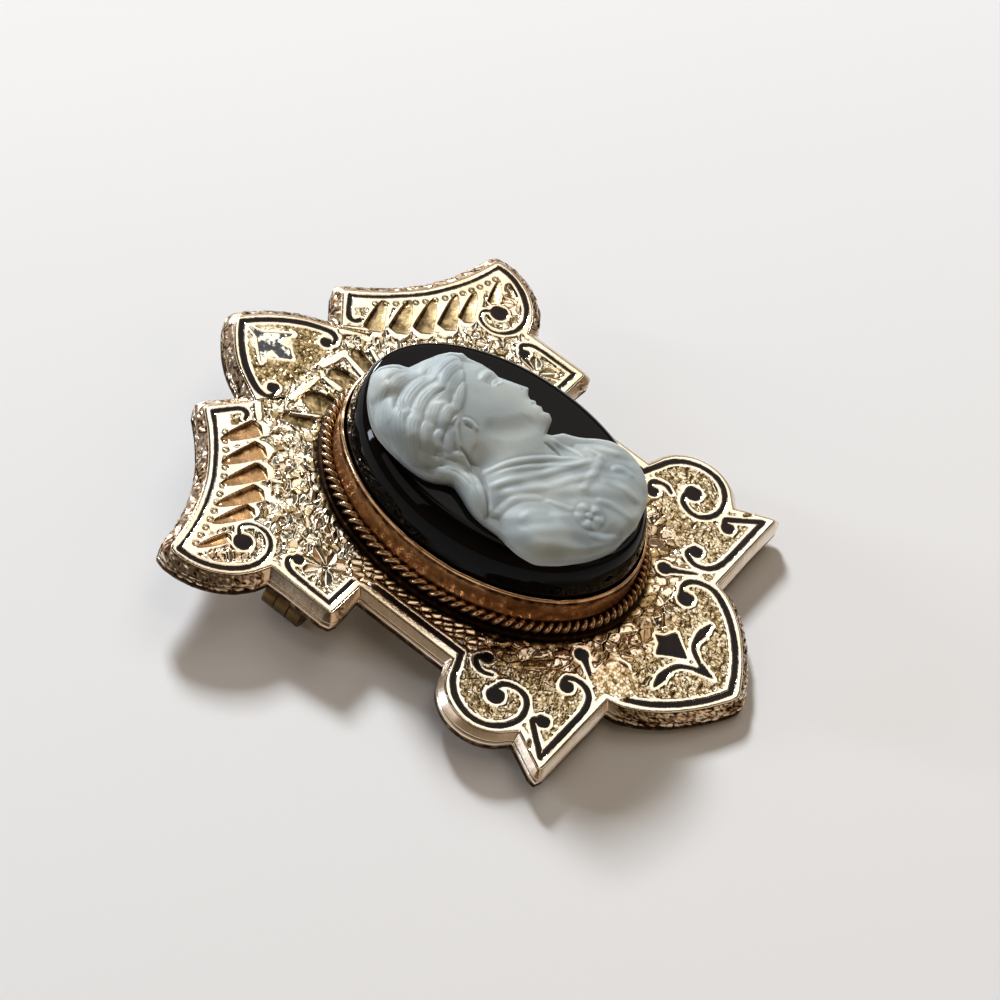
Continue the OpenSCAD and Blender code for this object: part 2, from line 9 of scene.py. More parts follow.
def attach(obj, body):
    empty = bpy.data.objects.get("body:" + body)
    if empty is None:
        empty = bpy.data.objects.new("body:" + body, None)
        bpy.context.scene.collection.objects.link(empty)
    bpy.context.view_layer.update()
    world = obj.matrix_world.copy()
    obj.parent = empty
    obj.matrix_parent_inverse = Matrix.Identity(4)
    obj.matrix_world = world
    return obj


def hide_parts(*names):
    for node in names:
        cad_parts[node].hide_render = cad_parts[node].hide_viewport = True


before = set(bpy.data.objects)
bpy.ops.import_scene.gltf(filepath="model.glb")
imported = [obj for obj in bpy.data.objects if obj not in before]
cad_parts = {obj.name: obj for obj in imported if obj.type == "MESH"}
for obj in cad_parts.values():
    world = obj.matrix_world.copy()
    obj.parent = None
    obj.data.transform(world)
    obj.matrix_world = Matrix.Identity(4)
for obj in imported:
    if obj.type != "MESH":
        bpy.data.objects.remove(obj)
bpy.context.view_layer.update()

# Sizes in millimetres, in the plate's own frame: its top face at height 0, its middle at 0, 0, and the bust's head
# up.
MM = 0.001
# The plate: thickness, reach of its flared edge, width of the back's rim, and heights of the back and its recess.
BODY_H = 1.4
FLARE_W = 0.65
BACK_RIM = 0.6
BACK_Z = -BODY_H
RECESS_Z = -1.15
# The enamel: width of its lines, and half width of the dots at their ends.
ENAMEL_W = 0.38
EYE_R = 0.5
# The stone: half width and half length at its girdle and at its flat top, height of its top, its foot and the bust's
# foot on it.
GIRDLE = (7.8, 10.45)
TABLE = (6.4, 9.7)
TABLE_Z = 5.6
STONE_FOOT = 0.06
LAYER_Z = TABLE_Z + 0.03
# The setting, outwards from the girdle: edge of the step, inside of the collar, middle of the rope, and its height.
STEP_OUT = 1.246
WALL_IN = 0.06
ROPE_OUT = 0.79
ROPE_Z = 0.78
# Behind: the pin's height up the plate and off it, and the places of the hinge and of the catch with its width.
PIN_Y = 4.8
PIN_Z = -2.75
HINGE_X = -13.2
CATCH_X = 11.6
CATCH_W = 2.2

# The brooch lies on its hinge and on the lower edge of its bottom lobe, so the plate leans by this much.
LEAN = math.radians(5.45686)
SHIFT_Y = -0.220521
LIFT = 3.36086
LAY = Matrix.Translation((0, SHIFT_Y * MM, LIFT * MM)) @ Matrix.Rotation(LEAN, 4, "X") @ Matrix.Scale(MM, 4)

# Spacing of the chased grid, length of a step round the outline, and the line where the plate's two parts meet.
GRID = 0.065
OUTLINE_STEP = 0.13
SEAM = -2.0
# How far from the outline and from the enamel a place can lie and still be measured.
EDGE_REACH = 2.0
ENAMEL_REACH = 1.6
# Straight parts that stand for a bent line.
BEND_PARTS = 12


def smooth(low, high, value):
    """An even rise from 0 at low to 1 at high, rounded at both ends."""
    t = np.clip((value - low) / (high - low), 0, 1)
    return t * t * (3 - 2 * t)


def mix(first, second, share):
    return first * (1 - share) + second * share


def curve_at(a, b, c, d, t):
    """The place a share t of the way from b to c, on a smooth curve that comes from a and goes on to d."""
    return (2 * b + (c - a) * t + (2 * a - 5 * b + 4 * c - d) * t * t + (3 * b - a - 3 * c + d) * t ** 3) / 2


def spline(points, steps):
    """A smooth curve through given points, with a number of steps between each pair."""
    p = np.array(points, float)
    rows = []
    for i in range(len(p) - 1):
        a, b, c, d = p[max(i - 1, 0)], p[i], p[i + 1], p[min(i + 2, len(p) - 1)]
        rows += [curve_at(a, b, c, d, k / steps) for k in range(steps)]
    rows.append(p[-1])
    return np.array(rows)


def arc(centre, radius, start, end, steps):
    """An arc round a centre, from one angle in degrees to another."""
    turn = np.radians(np.linspace(start, end, steps + 1))
    return np.stack([centre[0] + radius * np.cos(turn), centre[1] + radius * np.sin(turn)], 1)


# The plate's outline, right half from the upper point down: share of the flare, whether it runs smooth, and points.
# A third number at a point is the size of that corner's rounding.
RUNS = [
    (1, True, [(0, 20.5, 0.6), (1.25, 19.6), (2.25, 18.7), (3.15, 17.6), (3.85, 16.35)]),
    (1, False, [(4.5, 15.2), (5.6, 16.0), (7.25, 17.2, 0.4)]),
    (1, True, spline([(8.5, 15.85), (9.9, 14.6), (11.6, 13.42), (13.6, 12.5), (15.6, 11.9)], 2)),
    (1, False, [(17.45, 11.55, 0.4)]),
    (1, True, spline([(17.4, 10.4), (17.15, 9.4), (16.65, 8.4), (15.85, 7.45), (14.9, 6.8)], 2)),
    (0.9, False, [(13.8, 6.35)]),
    (0.8, False, [(13.85, 4.6), (13.88, 1.6, 0.25)]),
    (0.55, False, [(10.95, 1.6), (10.95, -2), (10.95, -5.75)]),
    (0.55, True, arc((11.08, -8.9), 2.97, 68, -56, 10)),
    (0.55, False, [(12.25, -11.8), (13.68, -14.38, 0.35), (10, -14.38)]),
    (0.6, False, [(8.2, -14.39), (6.3, -14.4)]),
    (0.75, True, spline([(6.0, -15.4), (5.3, -16.5), (4.3, -17.6), (3.2, -18.5), (2.1, -19.25), (1.2, -19.75)], 2)),
    (0.75, False, [(0, -20.4, 0.6)]),
]


def mitre(points, push):
    """Each point moved out, square to its two sides, by its own push. The loop runs round to the left."""
    before = points - np.roll(points, 1, 0)
    after = np.roll(points, -1, 0) - points
    out = []
    for v in (before, after):
        v = v / np.linalg.norm(v, axis=1)[:, None]
        out.append(np.stack([v[:, 1], -v[:, 0]], 1))
    both = np.maximum(1 + (out[0] * out[1]).sum(1), 0.45)
    return points + (out[0] + out[1]) * (push / both)[:, None]


def rounded(points, sizes):
    """Three points at each rounded corner."""
    rows = []
    for i, c in enumerate(points):
        if sizes[i] > 0:
            a, b = points[i - 1], points[(i + 1) % len(points)]
            a = c + (a - c) / np.linalg.norm(a - c) * sizes[i]
            b = c + (b - c) / np.linalg.norm(b - c) * sizes[i]
            rows += [a, (a + 2 * c + b) / 4, b]
        else:
            rows.append(c)
    return np.array(rows)


def outline():
    """The whole loop in fine steps: place, push of the flare, place of the back's rim, and share of the flare."""
    half = []
    for flare, curved, points in RUNS:
        for i, p in enumerate(points):
            half.append((p[0], p[1], flare, p[2] if len(p) > 2 else 0, curved and i < len(points) - 1))
    loop = np.array([(-p[0], *p[1:4]) for p in half] + [p[:4] for p in half[-2:0:-1]], float)
    sharp, share, turn = loop[:, :2], loop[:, 2], loop[:, 3]
    # Going down the left half a side belongs to the point that it leaves, and going up the right half to the point
    # that it comes to.
    sides = [p[4] for p in half[:-1]] + [p[4] for p in half[-2::-1]]
    times = np.where(turn > 0, 3, 1)
    coarse = rounded(sharp, turn)
    share = np.repeat(share, times)
    back_turn = np.where(turn > 0, np.maximum(turn - BACK_RIM, 0.06), 0)
    back = rounded(mitre(sharp, np.full(len(sharp), -BACK_RIM)), back_turn)
    curved = []
    for i, n in enumerate(times):
        curved += [True, True, sides[i]] if n == 3 else [sides[i]]
    rest = np.column_stack([mitre(coarse, share * FLARE_W) - coarse, back, share])
    n = len(coarse)
    rows = []
    for i in range(n):
        j = (i + 1) % n
        b, c = coarse[i], coarse[j]
        a = coarse[i - 1] if curved[i - 1] and curved[i] else b
        d = coarse[(i + 2) % n] if curved[j] and curved[i] else c
        steps = max(2, int(math.ceil(np.linalg.norm(c - b) / OUTLINE_STEP)))
        for k in range(steps):
            t = k / steps
            place = curve_at(a, b, c, d, t) if curved[i] else b + (c - b) * t
            rows.append(np.concatenate([place, rest[i] + (rest[j] - rest[i]) * t]))
    return np.array(rows)


OUTLINE = outline()

# The enamel's lines on the right half: points, and widths along them as a share of the enamel's width.
FAN_EDGE = [
    (7.2, 16.5), (8.5, 15.2), (10, 13.98), (11.3, 13.08), (12.5, 12.47), (14, 11.85), (15.5, 11.43),
    (17, 11.15),
]
LINES = [
    ([(0, 19.95), (0.9, 19.3), (1.9, 18.4), (2.8, 17.35), (3.35, 16.45), (3.7, 15.55), (3.6, 14.95),
      (3.2, 14.72), (2.85, 14.9)],
     (1, 1.1, 0.6)),
    ([(6.1, 14.7), (5.7, 14.95), (5.65, 15.4), (6.2, 15.85), (7.2, 16.5)], (0.8, 0.95)),
    (FAN_EDGE, (0.95, 0.9, 0.8)),
    ([(17, 11.15), (16.92, 10.2), (16.6, 9.2), (16.0, 8.25), (15.2, 7.5), (14.2, 7.05), (13.2, 7.1),
      (12.4, 7.6), (12.05, 8.4), (12.25, 9.25), (12.95, 9.6), (13.55, 9.15)],
     (0.9, 1, 0.8, 0.5, 0.6)),
    ([(12.2, 5.75), (12.55, 6.0), (13, 5.75), (13.25, 5.2), (13.3, 4), (13.33, 2.15)], (0.8, 0.8)),
    ([(13.33, 2.15), (10.95, 2.15)], (0.8, 0.8)),
    ([(10.25, 0.9), (10.2, -5.85)], (1.1, 1)),
    ([(10.2, -5.85), (11.1, -6.2), (12.2, -6.65), (13.05, -7.45), (13.5, -8.5), (13.5, -9.45), (13.1, -10.35),
      (12.35, -11.0), (11.4, -11.3), (10.5, -11.1), (9.9, -10.55), (9.78, -9.75), (10.15, -9.05),
      (10.9, -8.85)],
     (1, 1, 1, 0.9, 0.9)),
    ([(9.35, -6.95), (9.8, -6.72), (10.2, -7.0), (10.35, -7.55), (10.1, -8.15)], (1, 1, 0.5)),
    ([(7.3, -11.65), (6.85, -11.65), (6.55, -12.1), (6.55, -12.75), (6.95, -13.4), (7.7, -13.75),
      (8.6, -13.85)],
     (0.9, 1)),
    ([(8.6, -13.85), (12.8, -13.85)], (1, 1)),
    ([(12.8, -13.85), (11.35, -12.25), (10.95, -11.97), (10.6, -12.15)], (1, 1)),
    ([(4.85, -11.5), (5.3, -12.15), (6.0, -13.05)], (1.4, 0.8, 0.4)),
    ([(0, -19.7), (1, -19.27), (2, -18.72), (3, -18.02), (3.95, -17.2), (4.75, -16.3), (5.4, -15.3),
      (5.7, -14.4), (5.5, -13.55), (4.95, -12.98), (4.3, -12.95), (3.8, -13.25)],
     (1.1, 1.1, 1, 0.8)),
    ([(0.1, -17.4), (0.4, -16.85), (0.85, -16.25), (1.5, -15.95), (2.4, -15.9), (3.35, -15.95)],
     (0.6, 0.75, 0.85, 0.9, 1.5, 0.3)),
]
DOTS = [
    (2.8, 15.1, 0.75), (13.7, 8.75, 1.15), (12.15, 5.5, 0.7), (11.2, -9.2, 1.1), (9.3, -7.2, 0.75),
    (7.4, -12.0, 0.85), (10.58, -12.42, 0.85), (4.75, -11.25, 0.85), (3.8, -13.6, 1.05),
]
# Enamel shapes across the middle line, each as its right half.
SHAPES = [
    [(0, 19.35), (0.22, 18.5), (0.95, 17.75), (1.7, 16.95), (0.95, 17.3), (0.3, 17.15), (0.5, 16.4), (0, 15.75)],
    [(0, -13.8), (0.35, -14.3), (1.15, -14.65), (0.6, -15.35), (0, -16.25)],
    [(0, -17.25), (0.42, -17.1), (0, -18.35)],
]


def enamel_samples():
    """Places close together along the enamel, each with its half width."""
    rows = []
    for points, widths in LINES:
        line = spline(points, 12) if len(points) > 2 else np.linspace(points[0], points[1], 140)
        width = np.interp(np.linspace(0, len(widths) - 1, len(line)), range(len(widths)), widths) * ENAMEL_W / 2
        width -= 0.07 if points is FAN_EDGE else 0.035
        rows.append(np.column_stack([line, width]))
    rows.append(np.array([(x, y, r * EYE_R) for x, y, r in DOTS]))
    return np.concatenate(rows)


def nearest(x, y, samples, reach):
    """Least of distance less half width to the samples, and that sample's number, looked for tile by tile. Beyond
    reach it gives reach, and no number (-1)."""
    best = np.full(len(x), reach)
    number = np.full(len(x), -1)
    tile = 3.0
    keys = np.floor(x / tile).astype(int) * 1000 + np.floor(y / tile).astype(int)
    order = np.argsort(keys, kind="stable")
    cuts = np.flatnonzero(np.diff(keys[order])) + 1
    for group in np.split(order, cuts):
        gx, gy = x[group], y[group]
        near = np.flatnonzero((samples[:, 0] > gx.min() - reach) & (samples[:, 0] < gx.max() + reach)
                              & (samples[:, 1] > gy.min() - reach) & (samples[:, 1] < gy.max() + reach))
        if not len(near):
            continue
        s = samples[near]
        for part in np.array_split(np.arange(len(group)), max(1, len(group) * len(near) // 4000000)):
            d = np.hypot(gx[part, None] - s[:, 0], gy[part, None] - s[:, 1]) - s[:, 2]
            k = d.argmin(1)
            least = d[np.arange(len(part)), k]
            closer = least < best[group[part]]
            best[group[part[closer]]] = least[closer]
            number[group[part[closer]]] = near[k[closer]]
    return best, number


def line_gap(x, y, line, reach):
    """Distance to a line of places close together, and the nearest one's number."""
    return nearest(x, y, np.column_stack([line, np.zeros(len(line))]), reach)


def outline_place(x, y):
    """How far inside the outline a place lies, the nearest place on it, and whether it is near enough to tell."""
    p = OUTLINE[:, :2]
    ahead = np.roll(p, -1, 0)
    parts = 4
    fine = np.concatenate([p + (ahead - p) * k / parts for k in range(parts)], 0)
    along = np.concatenate([ahead - p] * parts, 0)
    along /= np.linalg.norm(along, axis=1)[:, None]
    k = line_gap(x, y, fine, EDGE_REACH)[1]
    found = k >= 0
    k = np.where(found, k, 0)
    places = np.stack([x, y], 1)
    slide = np.clip(((places - fine[k]) * along[k]).sum(1), -0.02, 0.02)
    on = fine[k] + along[k] * slide[:, None]
    gap = places - on
    side = gap[:, 0] * along[k][:, 1] - gap[:, 1] * along[k][:, 0]
    inside = np.where(found, -np.sign(side) * np.hypot(gap[:, 0], gap[:, 1]), EDGE_REACH)
    return inside, on, found


def within(x, y, loop):
    """Whether places lie inside a polygon."""
    found = np.zeros(len(x), bool)
    for (ax, ay), (bx, by) in zip(loop, loop[1:] + loop[:1]):
        if ay != by:
            crosses = (ay > y) != (by > y)
            found ^= crosses & (x < (bx - ax) * (y - ay) / (by - ay) + ax)
    return found


def enamel_gap(x, y):
    """Distance to the nearest enamel, less than nothing inside it."""
    across = np.abs(x)
    gap = nearest(across, y, ENAMEL, ENAMEL_REACH)[0]
    for half in SHAPES:
        edge = np.concatenate([np.linspace(a, b, 24) for a, b in zip(half, half[1:])])
        near = line_gap(across, y, edge, ENAMEL_REACH)[0]
        gap = np.minimum(gap, np.where(within(across, y, half), -near, near))
    return gap


ENAMEL = enamel_samples()


def cells(x, y, size, turn, stretch, seed, jitter=0.75):
    """Chips cut side by side: distance to the crease round a place's chip, the place in its chip, across and up,
    and the chip's three chance numbers."""
    c, s = math.cos(turn), math.sin(turn)
    u = (x * c + y * s) / (size * stretch)
    v = (y * c - x * s) / size
    chance = np.random.RandomState(seed).rand(64, 64, 5)
    iu, iv = np.floor(u).astype(int), np.floor(v).astype(int)
    best, second, pu, pv = (np.full(len(x), 9.0) for _ in range(4))
    luck = np.zeros((len(x), 5))
    for du in (-1, 0, 1):
        for dv in (-1, 0, 1):
            r = chance[(iu + du) % 64, (iv + dv) % 64]
            gu = u - (iu + du + 0.5 + (r[:, 0] - 0.5) * jitter)
            gv = v - (iv + dv + 0.5 + (r[:, 1] - 0.5) * jitter)
            d = np.hypot(gu, gv)
            closer = d < best
            second = np.where(closer, best, np.minimum(second, d))
            pu, pv = np.where(closer, gu, pu), np.where(closer, gv, pv)
            luck[closer] = r[closer]
            best = np.where(closer, d, best)
    return second - best, pu, pv, luck[:, 2:]


def tilt(pu, pv, chance_u, chance_v):
    """Slope of a chip's face: each leans its own way."""
    return pu * (chance_u - 0.5) + pv * (chance_v - 0.5)


def stroke(x, y, ax, ay, bx, by):
    """Share of the way along a cut from a to b, and distance to the left of it."""
    length = math.hypot(bx - ax, by - ay)
    tx, ty = (bx - ax) / length, (by - ay) / length
    return ((x - ax) * tx + (y - ay) * ty) / length, (y - ay) * tx - (x - ax) * ty


def leaf(x, y, ax, ay, bx, by, wide, blunt):
    """A leaf from a to b. Gives the share across it, -1 to 1 from its right edge to its left, and the share
    along it."""
    along, across = stroke(x, y, ax, ay, bx, by)
    t = np.clip(along, 0, 1)
    half = np.maximum(wide * np.power(np.clip(4 * t * (1 - t), 0, 1), blunt), 1e-3)
    return np.where((along > 0) & (along < 1), across / half, 9.0), t


def flute(x, y, ax, ay, bx, by, wide):
    """A scoop, broad near its start and pointed at its end: depth share, 0 outside."""
    along, across = stroke(x, y, ax, ay, bx, by)
    t = np.clip(along, 0, 1)
    half = wide * smooth(0, 0.12, t) * np.power(1 - t, 0.5) * 1.2
    s = across / np.maximum(half, 1e-3)
    inside = (np.abs(s) < 1) & (along > 0) & (along < 1)
    ramp = np.where(s < 0.7, ((s + 1) / 1.7) ** 0.8, (1 - s) / 0.3)
    return np.where(inside, ramp * np.minimum(1, half / wide * 1.3), 0)


def bend_gap(x, y, a, b, c):
    """Distance to a bent line from a past b to c, and the share of the way along it."""
    a, b, c = np.array(a), np.array(b), np.array(c)
    line = [a * (1 - k) ** 2 + b * 2 * k * (1 - k) + c * k * k for k in np.linspace(0, 1, BEND_PARTS + 1)]
    best = np.full(len(x), 99.0)
    way = np.zeros(len(x))
    for n, ((ax, ay), (bx, by)) in enumerate(zip(line, line[1:])):
        vx, vy = bx - ax, by - ay
        k = np.clip(((x - ax) * vx + (y - ay) * vy) / (vx * vx + vy * vy), 0, 1)
        d = np.hypot(x - ax - vx * k, y - ay - vy * k)
        way = np.where(d < best, (n + k) / BEND_PARTS, way)
        best = np.minimum(best, d)
    return best, way


# Right half: scoops of the fans, from the broad end to the tip, with their half width.
FLUTES = [
    (5.8, 13.6, 8.6, 14.7, 0.62), (6.95, 12.35, 10.0, 13.5, 0.64), (8.2, 11.25, 11.3, 12.45, 0.64),
    (9.65, 10.3, 12.8, 11.65, 0.6), (11.2, 9.8, 14.0, 10.95, 0.5), (13.9, 9.5, 16.1, 10.45, 0.36),
]
# Hollows between the bars under the top lobe, and small cuts at the corners below: ends and half width.
HOLLOWS = [
    (1.35, 13.5, 1.25, 10.9, 0.7), (3.75, 13.5, 3.05, 11.3, 0.55), (-1.7, 13.3, -1.2, 10.9, 0.95),
    (-4.0, 13.3, -3.0, 11.4, 0.6), (13.2, -13.1, 12.2, -12.6, 0.1), (-13.2, -13.1, -12.2, -12.6, 0.1),
]
# Polished bars: ends and half width.
BARS = [
    (0.35, 13.5, 0.35, 10.7, 0.27), (-2.8, 13.7, 0.2, 13.6, 0.25), (0.8, 14.1, 3.3, 13.7, 0.33),
    (2.95, 13.8, 2.25, 10.8, 0.26), (4.2, 15.2, 5.7, 13.7, 0.4), (-4.3, 15.2, -5.6, 14.0, 0.28),
    (-3.6, 13.1, -1.9, 11.0, 0.14), (4.6, 12.8, 3.9, 11.3, 0.2),
]
# Petals of the step's flower: ends, half width.
FLOWER = (11.4, 3.95)
PETALS = [
    (-0.15, 0.15, -0.8, 1.5, 0.5), (0.2, 0.15, 1.2, 0.85, 0.5), (0.15, -0.15, 1.1, -0.9, 0.5),
    (-0.2, -0.15, -0.9, -1.1, 0.45), (-0.25, 0.05, -1.3, 0.25, 0.4), (0.1, 0.3, 0.35, 1.6, 0.3),
]
# Widths of the graver's chips, depth of the fans' scoops, and the hollow punch: space from ring to ring, how far in
# from the fan's enamel they sit, and their radius.
CHIP = 0.44
LEAF_CHIP = 0.42
LUMP = 0.74
STIPPLE = 0.23
FLUTE_DEPTH = 0.2
PUNCH_STEP = 0.68
PUNCH_IN = 0.62
PUNCH_R = 0.17


def polished(x, y, inside, gap, fan_gap):
    """Share of polish: along the rim and the enamel, in the fans' outer band and round their scoops, and round the
    leaf of the top lobe."""
    across = np.abs(x)
    share = np.maximum(1 - smooth(0.40, 0.48, inside), 1 - smooth(0.24, 0.34, gap))
    share = np.maximum(share, (1 - smooth(0.95, 1.1, fan_gap)) * (gap > 0))
    share = np.maximum(share, (1 - smooth(1.1, 1.9, np.hypot(x, y - 17.5))) * 0.7)
    for ax, ay, bx, by, wide in FLUTES:
        off = bend_gap(across, y, (ax + 0.3, ay + 0.1), ((ax + bx) / 2, (ay + by) / 2), (bx, by))[0]
        share = np.maximum(share, (1 - smooth(wide + 0.05, wide + 0.25, off)) * (gap > 0))
    return share


def graver_ground(x, y, gap, ring):
    """The ground between the polished parts: a fine stipple in the lobes, bright chips beside the stone, leaf-like
    ones along the sides and coarse ones below. Gives its height, its dirt and the stipple's chance numbers."""
    across = np.abs(x)
    side = (across > 8.2) & (y > -6.4) & (y < 3.2)
    low = (y < -5.2) & ~side
    bent_x, bent_y = x + 0.1 * np.sin(5.3 * y + 1.9 * x), y + 0.1 * np.sin(4.7 * x - 2.3 * y)
    crease, pu, pv, luck = cells(bent_x, bent_y, CHIP, 0.5, 1.35, 3, 1.0)
    edge = 1 - smooth(0.02, 0.15, crease)
    chips = 0.24 * tilt(pu, pv, luck[:, 0], luck[:, 1]) + 0.1 * (luck[:, 2] - 0.5) - 0.05 * edge
    chip_dirt = np.maximum(0.58 * edge, 0.36 * smooth(0.72, 0.9, luck[:, 2]))
    crease, pu, pv, luck = cells(x, y, LEAF_CHIP, -0.9, 1.7, 5, 0.5)
    leaves = -0.07 * np.abs(pv) + 0.1 * (luck[:, 0] - 0.5) * pu - 0.05 * (1 - smooth(0, 0.2, crease))
    leaf_dirt = 0.08 + 0.52 * (1 - smooth(0, 0.25, crease))
    crease, pu, pv, luck = cells(x, y, LUMP, 2.5, 1.4, 7, 0.9)
    lumps = 0.4 * tilt(pu, pv, luck[:, 0], luck[:, 1]) - 0.06 * (1 - smooth(0, 0.2, crease))
    lumps += 0.12 * (luck[:, 2] - 0.5) - 0.03 * (pu * pu + pv * pv) + 0.3 * chips
    lump_dirt = np.maximum(0.5 * (1 - smooth(0, 0.2, crease)), 0.34 * smooth(0.55, 0.75, luck[:, 2])) + 0.04 * edge
    crease, pu, pv, speck = cells(x, y, STIPPLE, 0.3, 1.2, 11, 0.95)
    height = 0.05 * (speck[:, 0] - 0.5) - 0.03 * (pu * pu + pv * pv)
    height += 0.12 * tilt(pu, pv, speck[:, 1], speck[:, 2])
    height = height - 0.03
    dirt_and_shade = 0.22 + 0.25 * (1 - smooth(0, 0.35, crease)) + 0.2 * smooth(0.55, 0.95, speck[:, 2])
    # The top lobe's stipple is the dirtiest.
    dirt_and_shade = dirt_and_shade + 0.15 * smooth(14.0, 15.0, y) * smooth(5.5, 4.5, across)
    upper = smooth(2.8, 3.4, y) * (1 - smooth(14.2, 14.8, y)) * (gap > 0.2)
    lower = np.where(low, 1 - smooth(1.7, 2.3, ring), 0)
    beside = np.where(side & (gap > 0.2), 1.0, 0.0)
    for share, cuts, sunk, darker in ((upper, chips, 0.05, chip_dirt), (lower, lumps, 0.06, lump_dirt),
                                      (beside, leaves, 0.02, leaf_dirt)):
        height, dirt_and_shade = mix(height, cuts - sunk, share), mix(dirt_and_shade, darker, share)
    return height, dirt_and_shade, speck


def relief(x, y, inside):
    """Height of the chased plate at each place, how dark it is with old dirt and painted shade, and how rosy it is
    worn.
    """
    across = np.abs(x)
    gap = enamel_gap(x, y)
    # The enamel of the left scroll of the base is lost, and its channel is rubbed over.
    lost = (x < -3.4) & (x > -6.3) & (y < -12.6) & (np.hypot(x + 4.6, y + 13.8) < 1.6)
    gap = np.where(lost, 1.0, gap)
    ring = (np.hypot(x / (GIRDLE[0] + STEP_OUT), y / (GIRDLE[1] + STEP_OUT)) - 1) * 10
    fan_line = spline(FAN_EDGE, 10)
    fan_gap = line_gap(across, y, fan_line, ENAMEL_REACH)[0]
    polish = polished(x, y, inside, gap, fan_gap)
    field, dirt_and_shade, speck = graver_ground(x, y, gap, ring)
    height = mix(field, -0.004 * np.abs(speck[:, 0] - 0.5), polish)
    dirt_and_shade = mix(dirt_and_shade, 0.03, polish)
    # The wear is rosy where the metal meets the setting's lower half, and on the fans' far lobes.
    rose = smooth(5.0, 0.0, y) * (1 - smooth(1.2, 3.4, ring)) * (0.6 - 0.3 * smooth(-3.0, 3.0, x))
    rose = np.maximum(rose, 0.35 * smooth(12.5, 14.5, across) * (y > 5))

    for ax, ay, bx, by, wide in HOLLOWS:
        s = leaf(x, y, ax, ay, bx, by, wide, 0.3)[0]
        on = 1 - smooth(0.85, 1.0, np.abs(s))
        height = mix(height, -0.16 - 0.07 * s + 0.25 * field, on)
        dirt_and_shade = mix(dirt_and_shade, 0.5 + 0.3 * smooth(-0.2, 0.8, s), on)
    for ax, ay, bx, by, wide in BARS:
        s = leaf(x, y, ax, ay, bx, by, wide, 0.2)[0]
        on = 1 - smooth(0.85, 1.15, np.abs(s))
        height = mix(height, 0.04 - 0.008 * np.minimum(np.abs(s), 1) ** 2, on)
        dirt_and_shade = dirt_and_shade * (1 - on)
    # The left fan's scoops are worn rosy, and the right one's keep more dirt.
    for ax, ay, bx, by, wide in FLUTES:
        depth = flute(across, y, ax, ay, bx, by, wide)
        on = depth > 0
        height = np.where(on, -FLUTE_DEPTH * depth, height)
        # Each scoop darkens towards its deep, steep side: painted shade.
        dirt_and_shade = np.where(on, np.where(x < 0, 0.4, 0.5) + 0.25 * smooth(0.5, 1.0, depth), dirt_and_shade)
        rose = np.where(on, np.where(x < 0, 1.0, 0.15), rose)
    for ax, ay, bx, by, wide in PETALS:
        s, t = leaf(across, y, FLOWER[0] + ax, FLOWER[1] + ay, FLOWER[0] + bx, FLOWER[1] + by, wide, 0.55)
        on = 1 - smooth(0.85, 1.0, np.abs(s))
        height = mix(height, -0.03 - 0.12 * (1 - np.abs(s)) + 0.07 * (1 - t), on)
        # One half of each petal and the other half's edge are painted darker: painted shade.
        dirt_and_shade = mix(dirt_and_shade, 0.5 * smooth(0.0, 0.7, s) + 0.5 * smooth(0.8, 0.95, -s) + 0.02, on)

    # Rings of a hollow punch in the fans' polished band.
    walk = np.concatenate([[0], np.cumsum(np.hypot(*np.diff(fan_line, axis=0).T))])
    for place in np.arange(1.6, walk[-1] - 0.6, PUNCH_STEP):
        px, py = np.interp(place, walk, fan_line[:, 0]), np.interp(place, walk, fan_line[:, 1])
        qx, qy = np.interp(place + 0.1, walk, fan_line[:, 0]), np.interp(place + 0.1, walk, fan_line[:, 1])
        nx, ny = (qy - py) / 0.1, -(qx - px) / 0.1
        off = np.abs(np.hypot(across - px - nx * PUNCH_IN, y - py - ny * PUNCH_IN) - PUNCH_R)
        cut = 1 - smooth(0.0, 0.07, off)
        height = height - 0.05 * cut
        dirt_and_shade = np.maximum(dirt_and_shade, 0.8 * cut)

    # The metal falls away beside the enamel and lies under it, and rounds over at the plate's rim. Wear has dragged
    # it a little over the enamel's edge, unevenly.
    drag = cells(x, y, 0.35, 1.1, 1.4, 41)
    gap = gap + 0.05 + 0.035 * (drag[3][:, 0] - 0.3) * smooth(0.0, 0.3, drag[0])
    height = np.where(gap < 0.1, np.minimum(height, -0.075 + 0.075 * smooth(0.0, 0.1, gap)), height)
    dirt_and_shade = np.maximum(dirt_and_shade, 0.75 * (1 - smooth(0.0, 0.07, gap)))
    rim = smooth(0.0, 0.14, inside)
    height = height * rim - 0.045 * (1 - rim) ** 2
    # Painted shade lies on the plate against the foot of the setting, under the rope's overhang.
    foot = 1 - smooth(0.0, 0.45, ring)
    dirt_and_shade = np.maximum(dirt_and_shade, 0.75 * foot)
    height = np.where(lost, np.maximum(height, 0.3 * height - 0.012), height)
    return height, np.clip(dirt_and_shade, 0, 1), np.clip(rose, 0, 1)


def node(tree, kind, inputs=None, stops=(), **settings):
    """Adds one node. Settings are its own, inputs are numbers or sockets, and stops are a ramp's colours."""
    made = tree.nodes.new(kind)
    for key, value in settings.items():
        setattr(made, key, value)
    for key, value in (inputs or {}).items():
        if isinstance(value, bpy.types.NodeSocket):
            tree.links.new(value, made.inputs[key])
        else:
            made.inputs[key].default_value = value
    for i, (place, colour) in enumerate(stops):
        ramp = made.color_ramp.elements
        stop = ramp[i] if i < 2 else ramp.new(place)
        stop.position = place
        stop.color = colour if isinstance(colour, tuple) else shade(colour)
    return made


def shade(code):
    """Linear colour from an sRGB hex value."""
    parts = [int(code[i:i + 2], 16) / 255 for i in (1, 3, 5)]
    return tuple(c / 12.92 if c <= 0.04045 else ((c + 0.055) / 1.055) ** 2.4 for c in parts) + (1.0,)


